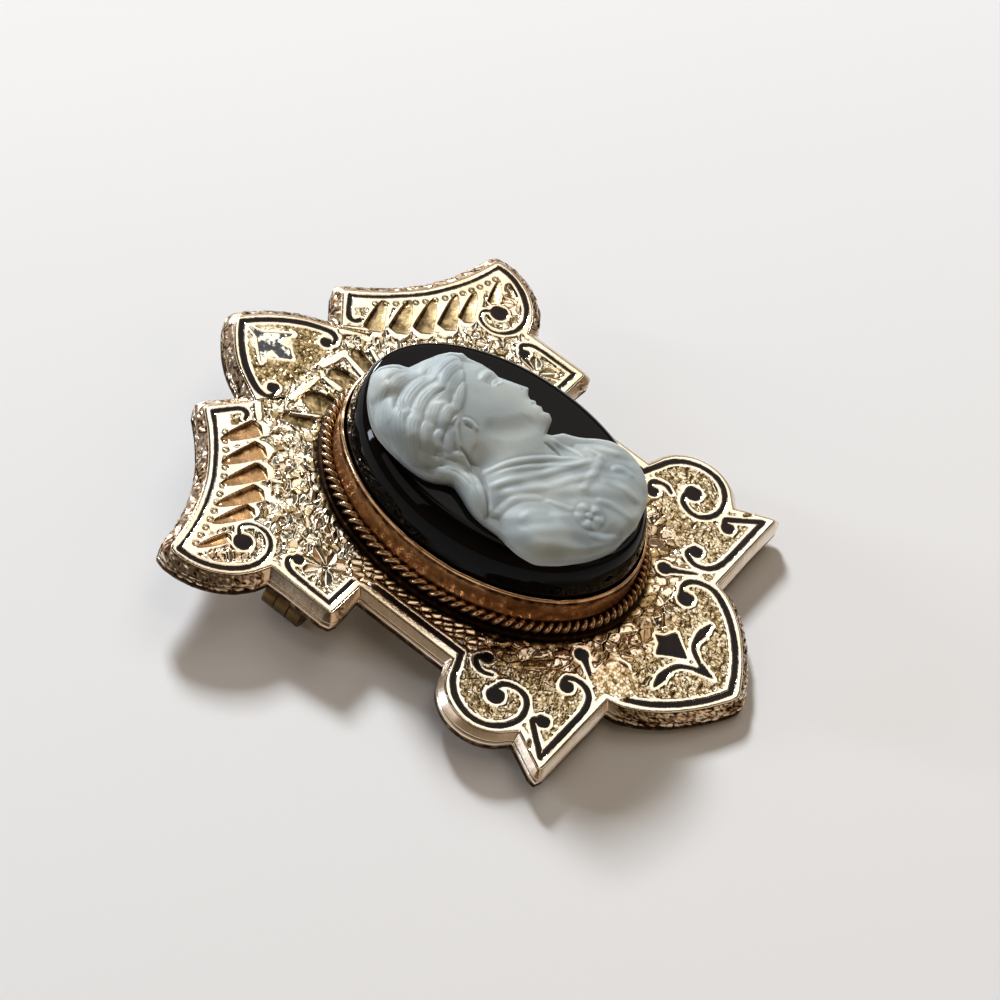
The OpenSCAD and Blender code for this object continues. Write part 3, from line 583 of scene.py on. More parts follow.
# Noise scales, in waves a metre, from the real width of what each draws.
TARNISH_CLOUDS = 260.0  # 4 mm
TARNISH_SPECKS = 1500.0  # 0.7 mm
ENAMEL_CLOUDS = 700.0  # 1.4 mm
ENAMEL_SCRAPS = 1100.0  # 0.9 mm
ONYX_BANDS = 120.0  # 8 mm
STONE_CLOUDS = 230.0  # 4.5 mm
STONE_GRAIN = 2600.0  # 0.4 mm, coarser than the real grain, so that it shows
PAPER_CLOUDS = 6.0  # 170 mm
# Depths of the bumps, in metres.
SPECK_DEPTH = 0.00006
ENAMEL_DEPTH = 0.00004
GRAIN_DEPTH = 0.00005


def material(name):
    """An empty material, its nodes, and the place on the object that its patterns follow."""
    made = bpy.data.materials.new(name)
    made.use_nodes = True
    made.node_tree.nodes.clear()
    return made, made.node_tree, node(made.node_tree, "ShaderNodeTexCoord").outputs["Object"]


def finish_material(made, tree, shader_inputs, bump=None, strength=0.0, depth=0.0):
    """Closes a material with its shader and, where there is one, its bump."""
    inputs = dict(shader_inputs)
    if bump is not None:
        inputs["Normal"] = node(tree, "ShaderNodeBump",
                                {"Height": bump, "Strength": strength, "Distance": depth}).outputs[0]
    shader = node(tree, "ShaderNodeBsdfPrincipled", inputs)
    node(tree, "ShaderNodeOutputMaterial", {"Surface": shader.outputs[0]})
    return made


def gold(name, clean, warm, amber, dirt_and_shade, rough, grain, worn=True):
    """Gold-filled brass. Clean raised metal is pale and bright, tarnish warms it, and dirt in the cuts is brown, as
    is
     painted shade where a piece carries it. Rough holds the roughness of clean and of dirty metal, and grain is the
     strength of its fine bumps."""
    made, tree, place = material(name)
    cloud = node(tree, "ShaderNodeTexNoise", {"Vector": place, "Scale": TARNISH_CLOUDS, "Detail": 3.0,
                                              "Roughness": 0.6})
    patch = node(tree, "ShaderNodeTexNoise", {"Vector": place, "Scale": TARNISH_SPECKS, "Detail": 4.0,
                                              "Roughness": 0.65})
    tone = node(tree, "ShaderNodeValToRGB", {"Fac": cloud.outputs["Fac"]}, ((0.38, clean), (0.66, warm)))
    colour = tone.outputs["Color"]
    rough_from = patch.outputs["Fac"]
    if worn:
        dark = node(tree, "ShaderNodeAttribute", attribute_name="dirt_and_shade").outputs["Fac"]
        uneven = node(tree, "ShaderNodeMath", {0: dark, 1: patch.outputs["Fac"]}, operation="MULTIPLY")
        more = node(tree, "ShaderNodeMapRange", {"Value": uneven.outputs[0], "From Min": 0.03, "From Max": 0.5,
                                                 "To Min": 0.0, "To Max": 1.0})
        # The dirt and painted shade brown first, and go nearly black where they are thickest.
        stain = node(tree, "ShaderNodeValToRGB", {"Fac": more.outputs[0]},
                     ((0.0, clean), (0.35, amber), (0.62, dirt_and_shade), (1.0, "#20120a")))
        amount = node(tree, "ShaderNodeMapRange", {"Value": more.outputs[0], "From Min": 0.0, "From Max": 0.25,
                                                   "To Min": 0.0, "To Max": 1.0})
        colour = node(tree, "ShaderNodeMix", {"Factor": amount.outputs[0], "A": colour, "B": stain.outputs[0]},
                      data_type="RGBA").outputs["Result"]
        rosy = node(tree, "ShaderNodeAttribute", attribute_name="rose").outputs["Fac"]
        colour = node(tree, "ShaderNodeMix", {"Factor": rosy, "A": colour, "B": shade("#f5d8c8")},
                      data_type="RGBA", blend_type="MULTIPLY").outputs["Result"]
        rough_from = more.outputs[0]
    roughness = node(tree, "ShaderNodeMapRange", {"Value": rough_from, "From Min": 0.1, "From Max": 0.7,
                                                  "To Min": rough[0], "To Max": rough[1]})
    return finish_material(made, tree, {"Base Color": colour, "Metallic": 1.0, "Roughness": roughness.outputs[0]},
                           patch.outputs["Fac"], grain, SPECK_DEPTH)


# Gold-filled brass, chased with a graver: pale bright facets, brown in the creases.
PLATE = gold("gold_filled_brass_chased", "#fcf5e7", "#ede1c5", "#b9a175", "#56462c", (0.12, 0.42), 0.35)
# The same metal on the flared rim, rubbed smooth and dulled by handling.
RIM = gold("gold_filled_brass_rim", "#f8ecdc", "#e4cfb6", "#b09474", "#483220", (0.26, 0.5), 0.25)
# The collar's gold is rubbed through to a rose-brown alloy with dark streaks.
COLLAR = gold("rose_alloy_tarnished", "#f4d0a8", "#deaa78", "#b88658", "#6a4a30", (0.2, 0.5), 0.3)
# The twisted wire and the step under it: the same gold, warmer with old polish.
ROPE = gold("gold_filled_wire_twisted", "#e2c6a2", "#b8946c", "#805a38", "#342216", (0.24, 0.5), 0.2)
# Plain brushed brass behind, its colours darkened for tarnish and as painted shade for the shadow it lies in.
BACK = gold("brass_back_brushed", "#86704c", "#5c4730", "#6e5434", "#443420", (0.3, 0.5), 0.2, worn=False)


def enamel_material():
    """Black champleve enamel, fired in its channels: glossy, brown where thin, with pits that catch the light."""
    made, tree, place = material("black_enamel_fired")
    cloud = node(tree, "ShaderNodeTexNoise", {"Vector": place, "Scale": ENAMEL_CLOUDS, "Detail": 3.0})
    tone = node(tree, "ShaderNodeValToRGB", {"Fac": cloud.outputs["Fac"]},
                ((0.45, "#120a0c"), (0.75, "#2c1714")))
    return finish_material(made, tree, {"Base Color": tone.outputs[0], "Roughness": 0.2, "IOR": 1.5,
                                        "Specular IOR Level": 0.12},
                           cloud.outputs["Fac"], 0.3, ENAMEL_DEPTH)


def worn_enamel_material():
    """The top leaf's enamel, rubbed through: blue-grey scraps in the deep places, and bright metal between them."""
    made, tree, place = material("black_enamel_rubbed_through")
    cloud = node(tree, "ShaderNodeTexNoise", {"Vector": place, "Scale": ENAMEL_SCRAPS, "Detail": 4.0,
                                              "Roughness": 0.7})
    bare = node(tree, "ShaderNodeMapRange", {"Value": cloud.outputs["Fac"], "From Min": 0.47, "From Max": 0.53,
                                             "To Min": 0.0, "To Max": 1.0}).outputs[0]
    tone = node(tree, "ShaderNodeValToRGB", {"Fac": cloud.outputs["Fac"]}, ((0.3, "#171c22"), (0.5, "#3a424a")))
    colour = node(tree, "ShaderNodeMix", {"Factor": bare, "A": tone.outputs[0], "B": shade("#f4efe4")},
                  data_type="RGBA").outputs["Result"]
    return finish_material(made, tree, {"Base Color": colour, "Metallic": bare, "Roughness": 0.24},
                           cloud.outputs["Fac"], 0.5, SPECK_DEPTH)


def onyx_material():
    """Polished black onyx: near-black glassy body with faint cloudy bands deep in it."""
    made, tree, place = material("black_onyx_polished")
    cloud = node(tree, "ShaderNodeTexNoise", {"Vector": place, "Scale": ONYX_BANDS, "Detail": 2.0})
    tone = node(tree, "ShaderNodeValToRGB", {"Fac": cloud.outputs["Fac"]}, ((0.4, "#060506"), (0.8, "#0d0b0c")))
    return finish_material(made, tree, {"Base Color": tone.outputs[0], "Roughness": 0.04, "IOR": 1.54,
                                        "Specular IOR Level": 0.09})


def layer_material():
    """Chalcedony's pale layer, carved and silk-polished: cool grey with faint warm clouds, with painted shade in the
    cuts
     and darker where it is thin over the black. Light goes a little way into it."""
    made, tree, place = material("pale_chalcedony_carved")
    cloud = node(tree, "ShaderNodeTexNoise", {"Vector": place, "Scale": STONE_CLOUDS, "Detail": 4.0,
                                              "Roughness": 0.55})
    tone = node(tree, "ShaderNodeValToRGB", {"Fac": cloud.outputs["Fac"]},
                ((0.3, "#98a4a8"), (0.5, "#abb3b2"), (0.72, "#babdb6")))
    dark = node(tree, "ShaderNodeAttribute", attribute_name="dirt_and_shade").outputs["Fac"]
    colour = node(tree, "ShaderNodeMix", {"Factor": dark, "A": tone.outputs[0], "B": shade("#5a6268")},
                  data_type="RGBA").outputs["Result"]
    grain = node(tree, "ShaderNodeTexNoise", {"Vector": place, "Scale": STONE_GRAIN, "Detail": 3.0})
    return finish_material(made, tree, {"Base Color": colour, "Roughness": 0.5, "IOR": 1.53,
                                        "Specular IOR Level": 0.3, "Subsurface Weight": 0.8,
                                        "Subsurface Radius": (1.0, 0.97, 0.93), "Subsurface Scale": 0.002},
                           grain.outputs["Fac"], 0.2, GRAIN_DEPTH)


ENAMEL_BLACK = enamel_material()
ENAMEL_WORN = worn_enamel_material()
ONYX = onyx_material()
LAYER = layer_material()


def piece(name, bm, look, stands_for, dirt_and_shade=None, rose=None, outward=True):
    """Lays a finished bmesh in its place on the leaning plate and makes it a piece of the brooch, in place of the
    solids that it stands for."""
    if outward:
        bmesh.ops.recalc_face_normals(bm, faces=bm.faces)
    bmesh.ops.transform(bm, matrix=LAY, verts=bm.verts)
    mesh = bpy.data.meshes.new(name)
    bm.to_mesh(mesh)
    bm.free()
    mesh.shade_smooth()
    mesh.materials.append(look)
    for kind, values in (("dirt_and_shade", dirt_and_shade), ("rose", rose)):
        if values is not None:
            layer = mesh.attributes.new(kind, "FLOAT", "POINT")
            layer.data.foreach_set("value", np.asarray(values, np.float32))
    made = bpy.data.objects.new(name, mesh)
    bpy.context.scene.collection.objects.link(made)
    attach(made, "root")
    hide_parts(*stands_for)


def fresh_verts(made):
    """The new corners among what an extrusion made."""
    return [g for g in made if isinstance(g, bmesh.types.BMVert)]


def edges_at(verts):
    """The edges at these corners, each once and always in the same order."""
    return list(dict.fromkeys(e for v in verts for e in v.link_edges))


def place_of(bm):
    return np.array([v.co for v in bm.verts])


def move_to(bm, places):
    for v, p in zip(bm.verts, places):
        v.co = p


def set_row(verts, row, dark, dirt_and_shade):
    """Puts a loft's corners in their places, with their dirt and painted shade where the piece has any."""
    for k, v in enumerate(verts):
        v.co = row[k]
        if dark:
            v[dark] = dirt_and_shade[k]


def loft(rows, dirt_and_shade=None, cap_first=False, cap_last=False, joined=False):
    """Extrudes a closed loop from row to row. Rows are arrays of as many places each, and dirt, which holds dirt and
     painted shade, has as many values. An extrusion makes its corners in no fixed order, so each one gets its value
     here."""
    bm = bmesh.new()
    dark = None if dirt_and_shade is None else bm.verts.layers.float.new("dirt_and_shade")
    start = list(bmesh.ops.create_circle(bm, cap_ends=False, segments=len(rows[0]), radius=1)["verts"])
    set_row(start, rows[0], dark, dirt_and_shade and dirt_and_shade[0])
    edges, last = list(bm.edges), start
    for n, row in enumerate(rows[1:], 1):
        step = {}
        made = bmesh.ops.extrude_edge_only(bm, edges=edges)["geom"]
        known = set(fresh_verts(made))
        edges = [g for g in made if isinstance(g, bmesh.types.BMEdge)]
        for old in last:
            for e in old.link_edges:
                other = e.other_vert(old)
                if other in known:
                    step[old] = other
        last = [step[v] for v in last]
        set_row(last, row, dark, dirt_and_shade and dirt_and_shade[n])
    if cap_first:
        bm.faces.new(start)
    if cap_last:
        bm.faces.new(last)
    if cap_first or cap_last:
        big = [f for f in bm.faces if len(f.verts) > 4]
        bmesh.ops.triangulate(bm, faces=big)
    if joined:
        bmesh.ops.remove_doubles(bm, verts=bm.verts, dist=1e-5)
    return bm


def oval_row(d, z, count):
    """A loop round the setting, a distance out from the stone's girdle, at one height or at a list of them."""
    turn = np.linspace(0, 2 * math.pi, count, endpoint=False)
    return np.column_stack([(GIRDLE[0] + d) * np.cos(turn), (GIRDLE[1] + d) * np.sin(turn), np.zeros(count) + z])


# Width of the chased grid, how low its skirt reaches, and the layers that carry its wear and painted shade while it
#  is trimmed.
PLATE_W = 35.4
SKIRT_Z = -0.3
WEAR_AND_SHADE = ("dirt_and_shade_in", "rose_in")


def plate_part(name, low, high):
    """One part of the plate's top, between two heights up the plate: a fine grid, trimmed to the outline and to the
    setting's step, and chased."""
    bm = bmesh.new()
    bmesh.ops.create_grid(bm, x_segments=int(PLATE_W / GRID), y_segments=int((high - low) / GRID), size=0.5,
                          matrix=Matrix.Translation((0, (low + high) / 2, 0))
                          @ Matrix.Diagonal((PLATE_W, high - low, 1, 1)))
    co = place_of(bm)
    inside, on, found = outline_place(co[:, 0], co[:, 1])
    loop = [tuple(p) for p in OUTLINE[::6, :2]]
    far = np.where(within(co[:, 0], co[:, 1], loop), EDGE_REACH, -EDGE_REACH)
    inside = np.where(found, inside, far)
    # The places next to the outline move onto it.
    snap = np.abs(inside) < 0.71 * GRID
    co[snap, :2] = on[snap]
    inside[snap] = 0
    out = inside < -0.01
    out |= np.hypot(co[:, 0] / (GIRDLE[0] + STEP_OUT - 0.15), co[:, 1] / (GIRDLE[1] + STEP_OUT - 0.15)) < 1
    co[:, 2], dirt_and_shade, rose = relief(co[:, 0], co[:, 1], inside)
    move_to(bm, co)
    bm.verts.ensure_lookup_table()
    layers = bm.verts.layers.float
    for kind in WEAR_AND_SHADE:
        layers.new(kind)
    dark, tint = (layers[kind] for kind in WEAR_AND_SHADE)
    for v, d, r in zip(bm.verts, dirt_and_shade, rose):
        v[dark] = d
        v[tint] = r
    bmesh.ops.delete(bm, geom=[bm.verts[i] for i in np.flatnonzero(out)], context="VERTS")
    thin = [f for f in bm.faces if f.calc_area() < 0.12 * GRID * GRID]
    bmesh.ops.delete(bm, geom=thin, context="FACES")
    loose = [v for v in bm.verts if not v.link_faces]
    bmesh.ops.delete(bm, geom=loose, context="VERTS")
    # A skirt closes the part to the sides, but not where the two parts meet.
    edges = [e for e in bm.edges if e.is_boundary and max(abs(v.co.y - SEAM) for v in e.verts) > 0.001]
    made = bmesh.ops.extrude_edge_only(bm, edges=edges)["geom"]
    for v in fresh_verts(made):
        v.co = (v.co.x * 0.997, v.co.y * 0.997, SKIRT_Z)
    dirt_and_shade, rose = [v[dark] for v in bm.verts], [v[tint] for v in bm.verts]
    for kind in WEAR_AND_SHADE:
        layers.remove(layers[kind])
    piece(name, bm, PLATE, ("frame",), dirt_and_shade, rose, outward=False)


plate_part("plate_upper", SEAM, 21.0)
plate_part("plate_lower", -20.9, SEAM)

# Section of the flared edge: share of the flare outwards, and share of the plate's thickness down.
EDGE = [
    (0, 0.02), (0.06, 0.03), (0.3, 0.1), (0.6, 0.19), (0.9, 0.29), (0.98, 0.32), (0.97, 0.36), (0.84, 0.42),
    (0.72, 0.455), (0.71, 0.48), (0.8, 0.52), (0.93, 0.56), (1.0, 0.61), (1.04, 0.69), (1.05, 0.78),
    (1.03, 0.87), (0.95, 0.95), (0.85, 1.0),
]


def edge_piece():
    """The flared edge, its groove and rim, and the back with its shallow recess, in one skin."""
    place, push, back, share = OUTLINE[:, :2], OUTLINE[:, 2:4], OUTLINE[:, 4:6], OUTLINE[:, 6]
    section = spline(EDGE, 2)
    count = len(place)
    walk = np.concatenate([[0], np.cumsum(np.hypot(*np.diff(place, axis=0).T))])
    chased = np.maximum(smooth(0.92, 0.97, share), smooth(0.68, 0.73, share) * (1 - smooth(0.76, 0.79, share)))
    normal = push / np.maximum(np.hypot(push[:, 0], push[:, 1]), 1e-6)[:, None]
    # The skin begins out of sight under the plate's chased top.
    inner = place - push / np.maximum(share, 0.1)[:, None] * 0.3
    rows, dirt_and_shade = [np.column_stack([inner, np.full(count, -0.2)])], [np.zeros(count)]
    for out, down in section:
        xy = place + push * out
        z = np.full(count, -down * BODY_H)
        across = out + down
        crease, pu, pv, luck = cells(walk, np.full(count, across * 1.1), 0.36, 0.9, 1.6, 21, 0.95)
        cut = 0.4 * tilt(pu, pv, luck[:, 0], luck[:, 1]) - 0.05 * (1 - smooth(0, 0.25, crease))
        # The cuts are deepest in the middle of the upper band, and lighter on the lip.
        band = 0.45 if across < 1.8 else 0
        if across < 1.15:
            band = math.sin(math.pi * min(1, max(0, (across - 0.1) / 1.05)))
        amount = chased * max(band, 0)
        slope = 0.45 if across < 1.25 else 0.9
        xy = xy + normal * (cut * amount * slope)[:, None]
        z = z + cut * amount * (1 - slope) * 1.2
        rows.append(np.column_stack([xy, z]))
        # Painted shade darkens the groove and the lower part of the rim, a thin line is darkened at the top of the
        # chased
        #  band, and dirt lies between its cuts.
        groove = 1 - smooth(0.0, 0.07, abs(down - 0.465))
        line = smooth(0.02, 0.06, across) * (1 - smooth(0.12, 0.2, across)) + smooth(1.55, 1.8, across)
        flecks = 0.05 + 0.6 * (1 - smooth(0.05, 0.3, crease)) + 0.35 * smooth(0.6, 0.7, luck[:, 2])
        dirt_and_shade.append(np.clip(0.95 * groove + 0.7 * line + chased * flecks * (band > 0.1), 0, 1))
    for z in (BACK_Z, RECESS_Z):
        rows.append(np.column_stack([back, np.full(count, z)]))
        dirt_and_shade.append(np.full(count, 0.2))
    piece("flared_edge", loft(rows, dirt_and_shade, cap_last=True), RIM, ("frame",))


edge_piece()

# Steps round the collar and the step under the rope, and round the stone.
ROUND = 360
STONE_ROUND = 240


def collar_piece():
    """The oval collar: a plain tall wall with a thin bright lip, nicked where it was pushed over the stone."""
    chance = np.random.RandomState(31)
    turn = np.linspace(0, 2 * math.pi, ROUND, endpoint=False)
    wave = sum(np.sin(turn * k + chance.rand() * 6) / k for k in (3, 5, 9, 14)) * 0.02
    nick = np.interp(np.arange(ROUND), np.arange(0, ROUND, 3), -0.05 * (chance.rand(ROUND // 3) > 0.8))
    section = [(WALL_IN, 0.05), (WALL_IN, 2.7), (0.08, 2.92), (0.13, 3.0), (0.2, 3.01), (0.27, 2.97), (0.32, 2.86),
               (0.3, 2.78), (0.36, 2.72), (0.385, 2.5), (0.38, 2.1), (0.365, 1.7), (0.37, 1.4), (0.4, 1.2),
               (0.43, 1.1), (0.43, 0.05)]
    rows, dirt_and_shade = [], []
    for d, z in section:
        outer = 1 if d > 0.2 else 0
        rows.append(oval_row(d + wave * outer, z + nick * smooth(2.6, 2.95, z), ROUND))
        streak = np.interp(np.arange(ROUND), np.arange(0, ROUND, 4), chance.rand(ROUND // 4))
        # Tarnish streaks; the foot behind the rope is darkened as painted shade, and a thin line under the lip and
        # at the inner wall's top is darkened.
        base = 0.05 if z > 2.8 else 0.2
        foot, lip = 1 - smooth(0.7, 1.1, z), abs(z - 2.75) < 0.05
        dirt_and_shade.append(np.clip(base + 0.35 * streak + 0.4 * foot + 0.5 * lip, 0, 1))
    piece("collar", loft(rows + rows[:1], dirt_and_shade + dirt_and_shade[:1], joined=True), COLLAR, ("frame",))


def step_piece():
    """The low step under the rope wire."""
    section = [(WALL_IN, -0.2), (WALL_IN, 0.38), (0.5, 0.39), (1.12, 0.36), (1.2, 0.32), (STEP_OUT, 0.22),
               (STEP_OUT, -0.2)]
    rows = [oval_row(d, z, ROUND) for d, z in section]
    bm = loft(rows + rows[:1], joined=True)
    # The step is painted dark all over: painted shadow of the rope above it.
    piece("setting_step", bm, ROPE, ("frame",), np.full(len(bm.verts), 0.85))


def rope_strand(name, phase):
    """One strand of the twisted wire round the collar's foot. Two strands give a row of slanting beads."""
    turns, around, per_turn = 50, 8, 16
    steps = turns * per_turn
    wire, lay = 0.205, 0.185
    ring = np.linspace(0, 2 * math.pi, around, endpoint=False)
    rows = []
    for k in range(steps + 1):
        a = 2 * math.pi * k / steps
        twist = turns * a + phase
        d, z = ROPE_OUT + lay * math.cos(twist), ROPE_Z + lay * math.sin(twist)
        out = d + wire * np.cos(ring)
        rows.append(np.column_stack([(GIRDLE[0] + out) * math.cos(a), (GIRDLE[1] + out) * math.sin(a),
                                     z + wire * np.sin(ring)]))
    bm = loft(rows, joined=True)
    high = np.array([v.co.z for v in bm.verts])
    # The lower side of each wire is painted darker: painted shade where it rests on the step.
    piece(name, bm, ROPE, ("frame",), 0.75 * (1 - smooth(0.6, 1.1, high)) + 0.1)


collar_piece()
step_piece()
rope_strand("rope_strand_a", 0.0)
rope_strand("rope_strand_b", math.pi)


def stone_piece():
    """The onyx: straight girdle inside the collar, a steep rounded bevel and a flat top."""
    # Share of the way in from girdle to table, share of the way up.
    section = spline([(0.02, 0), (0, 0.05), (0, 0.5), (0.03, 0.61), (0.13, 0.73), (0.33, 0.855), (0.6, 0.945),
                      (0.82, 0.988), (1, 1)], 4)
    turn = np.linspace(0, 2 * math.pi, STONE_ROUND, endpoint=False)
    rows = []
    for share, up in section:
        a = GIRDLE[0] + (TABLE[0] - GIRDLE[0]) * share
        b = GIRDLE[1] + (TABLE[1] - GIRDLE[1]) * share
        z = np.full(STONE_ROUND, STONE_FOOT + (TABLE_Z - STONE_FOOT) * up)
        rows.append(np.column_stack([a * np.cos(turn), b * np.sin(turn), z]))
    for keep in (0.97, 0.7):
        rows.append(rows[-1] * (keep, keep, 1))
    bm = loft(rows, cap_first=True, cap_last=True)
    piece("onyx_stone", bm, ONYX, ("onyx",))


stone_piece()

# The bust in the pale layer. Rows of its edge: height, left and right. Its profile is a plain one of the maker's
# own.
BUST = [
    (-9.4, -1.0, 0.6), (-9.2, -2.1, 2.0), (-8.6, -3.3, 3.5), (-7.6, -4.8, 4.6), (-6.5, -5.85, 5.25),
    (-5.4, -6.05, 5.5), (-4.4, -5.95, 5.3), (-3.6, -5.8, 4.7), (-2.9, -5.85, 4.0), (-2.4, -5.85, 3.7),
    (-1.9, -5.8, 3.45), (-1.5, -5.7, 2.75), (-1.2, -5.6, 2.55), (-0.95, -5.5, 3.3), (-0.75, -5.4, 3.8),
    (-0.35, -5.2, 4.05), (0.0, -5.05, 3.85), (0.3, -4.95, 4.1), (0.6, -4.9, 3.95), (0.85, -5.0, 4.2),
    (1.15, -5.25, 4.0), (1.45, -5.5, 4.2), (1.8, -5.7, 4.72), (2.3, -5.85, 4.5), (3.1, -5.9, 4.1),
    (3.6, -5.88, 3.88), (4.1, -5.82, 4.02), (5.0, -5.7, 3.98), (5.9, -5.5, 3.7), (6.4, -5.3, 3.75),
    (7.0, -4.95, 3.2), (7.4, -4.6, 2.4), (7.75, -4.3, 1.3), (8.0, -4.0, 0.2), (8.25, -3.75, 0.05),
    (8.6, -3.3, -0.1), (8.9, -2.85, -0.4), (9.15, -2.35, -0.8), (9.3, -1.9, -1.2),
]
# Rounded masses: middle, half width, half length, height.
MASSES = [
    (-1.2, 4.2, 4.9, 4.6, 1.7), (1.7, 2.6, 3.4, 4.4, 1.5), (-2.2, 8.0, 1.9, 1.3, 1.5),
    (-4.0, 4.8, 2.3, 3.0, 1.55), (0.2, -0.4, 3.6, 3.6, 1.25), (-0.2, -6.2, 6.8, 4.6, 1.45),
    (-4.9, -0.6, 1.5, 3.0, 1.15), (3.0, 0.2, 1.5, 1.3, 1.15), (-3.9, -5.7, 2.9, 3.3, 1.6),
    (-2.4, -2.2, 2.4, 2.6, 1.25),
]
# Ridges and, where the rise is below nothing, hollows: start, bend, end, half width, rise.
RIDGES = [
    ((3.5, 6.6), (1.4, 6.9), (-1.2, 4.7), 1.1, 0.22), ((-1.2, 4.7), (-2.4, 3.6), (-2.2, 3.0), 1.0, 0.2),
    ((-2.0, 8.0), (-4.6, 6.6), (-5.0, 3.6), 0.9, 0.2), ((-3.4, 6.0), (-3.6, 4.4), (-4.9, 3.2), 0.8, 0.2),
    ((-2.3, 1.4), (-1.9, 0.2), (-2.6, -0.6), 0.9, -0.06), ((2.6, 0.1), (0.8, -0.3), (-0.6, 1.9), 1.0, -0.1),
    ((3.7, 3.45), (3.0, 3.75), (2.3, 3.35), 0.45, -0.12), ((3.9, 4.15), (3.0, 4.35), (2.2, 3.95), 0.35, 0.1),
    ((3.55, 3.35), (3.1, 3.6), (2.6, 3.3), 0.14, 0.07), ((3.5, 3.1), (3.05, 3.0), (2.65, 3.2), 0.12, 0.06),
    ((4.3, 1.85), (4.05, 2.0), (3.9, 1.75), 0.2, -0.1), ((4.0, 0.72), (3.7, 0.78), (3.35, 0.7), 0.14, -0.12),
    ((-1.4, 2.9), (-0.8, 2.6), (-1.2, 1.7), 0.26, 0.13), ((-1.5, 2.6), (-1.3, 2.3), (-1.4, 2.1), 0.14, -0.06),
    ((-3.4, -0.2), (0.4, -1.6), (2.3, -4.0), 0.28, 0.1), ((-4.0, -1.1), (-1.4, -2.6), (3.3, -4.9), 0.4, 0.1),
    ((-3.9, -1.9), (-2.0, -3.6), (2.7, -5.7), 0.45, 0.08),
    ((-2.9, -0.9), (0.0, -2.2), (1.6, -4.2), 0.24, 0.05),
    ((-5.6, -2.9), (-3.3, -2.2), (-2.1, -4.4), 0.4, 0.09),
    ((-2.2, -4.2), (-1.9, -5.6), (-1.5, -6.1), 0.3, 0.07),
    ((1.6, -1.5), (1.9, -2.2), (1.6, -3.0), 0.18, -0.14), ((2.3, -1.6), (2.9, -2.9), (2.4, -4.4), 0.34, 0.09),
    ((3.1, -2.7), (4.0, -4.0), (4.5, -5.7), 0.44, 0.09), ((-0.2, -5.5), (1.6, -5.5), (3.9, -4.6), 0.42, 0.07),
    ((0.0, -6.5), (1.0, -7.6), (0.7, -9.1), 0.4, 0.08), ((1.5, -5.9), (2.7, -7.0), (2.1, -8.6), 0.44, 0.08),
    ((2.8, -5.9), (4.0, -6.1), (3.5, -7.3), 0.38, 0.1),
    ((-2.3, -7.7), (-1.9, -8.6), (-0.8, -9.2), 0.34, 0.05),
    ((-4.9, -4.2), (-3.5, -3.9), (-2.9, -5.2), 0.4, 0.04),
    ((3.3, -3.5), (3.6, -4.6), (3.3, -5.4), 0.28, 0.06),
]
# Locks of hair: start, bend, end, half width.
LOCKS = [
    ((3.4, 6.9), (1.6, 7.6), (-0.4, 7.0), 0.5), ((3.5, 6.3), (1.6, 6.9), (-0.2, 6.2), 0.5),
    ((2.9, 5.7), (1.3, 6.2), (-0.4, 5.3), 0.48), ((2.2, 5.0), (1.0, 5.4), (-0.6, 4.5), 0.45),
    ((1.3, 4.3), (0.4, 4.6), (-1.0, 3.6), 0.42), ((-0.2, 7.1), (-1.8, 7.9), (-3.4, 7.0), 0.55),
    ((0.0, 6.3), (-1.9, 6.9), (-3.5, 5.9), 0.55), ((-0.2, 5.4), (-1.9, 6.0), (-3.4, 4.9), 0.5),
    ((-0.5, 4.6), (-2.0, 5.0), (-3.2, 4.0), 0.5), ((-0.9, 3.7), (-2.0, 4.2), (-3.0, 3.2), 0.42),
    ((-3.2, 7.1), (-4.6, 7.0), (-5.2, 5.7), 0.5), ((-3.3, 6.0), (-4.8, 6.0), (-5.5, 4.4), 0.55),
    ((-3.2, 5.0), (-4.8, 4.9), (-5.6, 3.2), 0.5), ((-3.0, 4.1), (-4.3, 4.0), (-4.9, 2.6), 0.45),
    ((-0.6, 7.9), (-1.6, 8.9), (-3.0, 8.3), 0.5), ((-1.0, 8.5), (-1.9, 9.2), (-2.8, 8.7), 0.35),
    ((-2.2, 7.6), (-3.4, 8.2), (-4.3, 7.1), 0.45), ((-2.9, 3.2), (-4.2, 3.4), (-4.0, 2.3), 0.34),
    ((-2.2, 2.9), (-3.2, 2.7), (-4.2, 1.6), 0.36), ((-1.6, 3.2), (-2.6, 2.3), (-3.3, 1.2), 0.34),
    ((-5.6, 4.0), (-6.2, 2.2), (-4.9, 1.5), 0.42), ((-5.2, 1.6), (-3.9, 1.3), (-3.3, 0.2), 0.4),
    ((-5.1, 3.4), (-5.3, 2.3), (-4.4, 2.0), 0.34), ((-4.6, 2.1), (-3.5, 1.8), (-3.0, 0.8), 0.3),
    ((-4.4, 2.4), (-2.7, 0.7), (-4.2, -0.8), 0.32), ((-4.1, -0.5), (-5.0, -1.6), (-5.6, -2.9), 0.32),
    ((-4.9, 2.5), (-3.5, 0.9), (-4.7, -0.8), 0.32), ((-4.7, -0.4), (-5.6, -1.4), (-6.0, -2.6), 0.3),
    ((-5.4, 2.3), (-4.3, 0.9), (-5.1, -0.6), 0.3), ((-3.4, 1.0), (-3.3, -0.2), (-4.2, -1.2), 0.26),
]
# Where the hair ends against the face, the neck and the shoulder, and round behind it all.
HAIR_LINE = [
    (3.9, 6.9), (3.2, 6.1), (2.2, 5.2), (1.1, 4.3), (0.1, 3.6), (-0.9, 3.1), (-1.9, 2.6), (-2.6, 1.9),
    (-3.0, 1.0), (-3.2, 0.1), (-4.1, -1.2), (-5.3, -2.3), (-6.9, -2.9), (-7.2, 3), (-6.4, 8), (-3, 10.5),
    (3, 10.5), (6, 7),
]
# Places of its front edge, ahead of those that only close the loop behind.
HAIR_FRONT = 13
ROSETTE = (-1.2, -7.0)


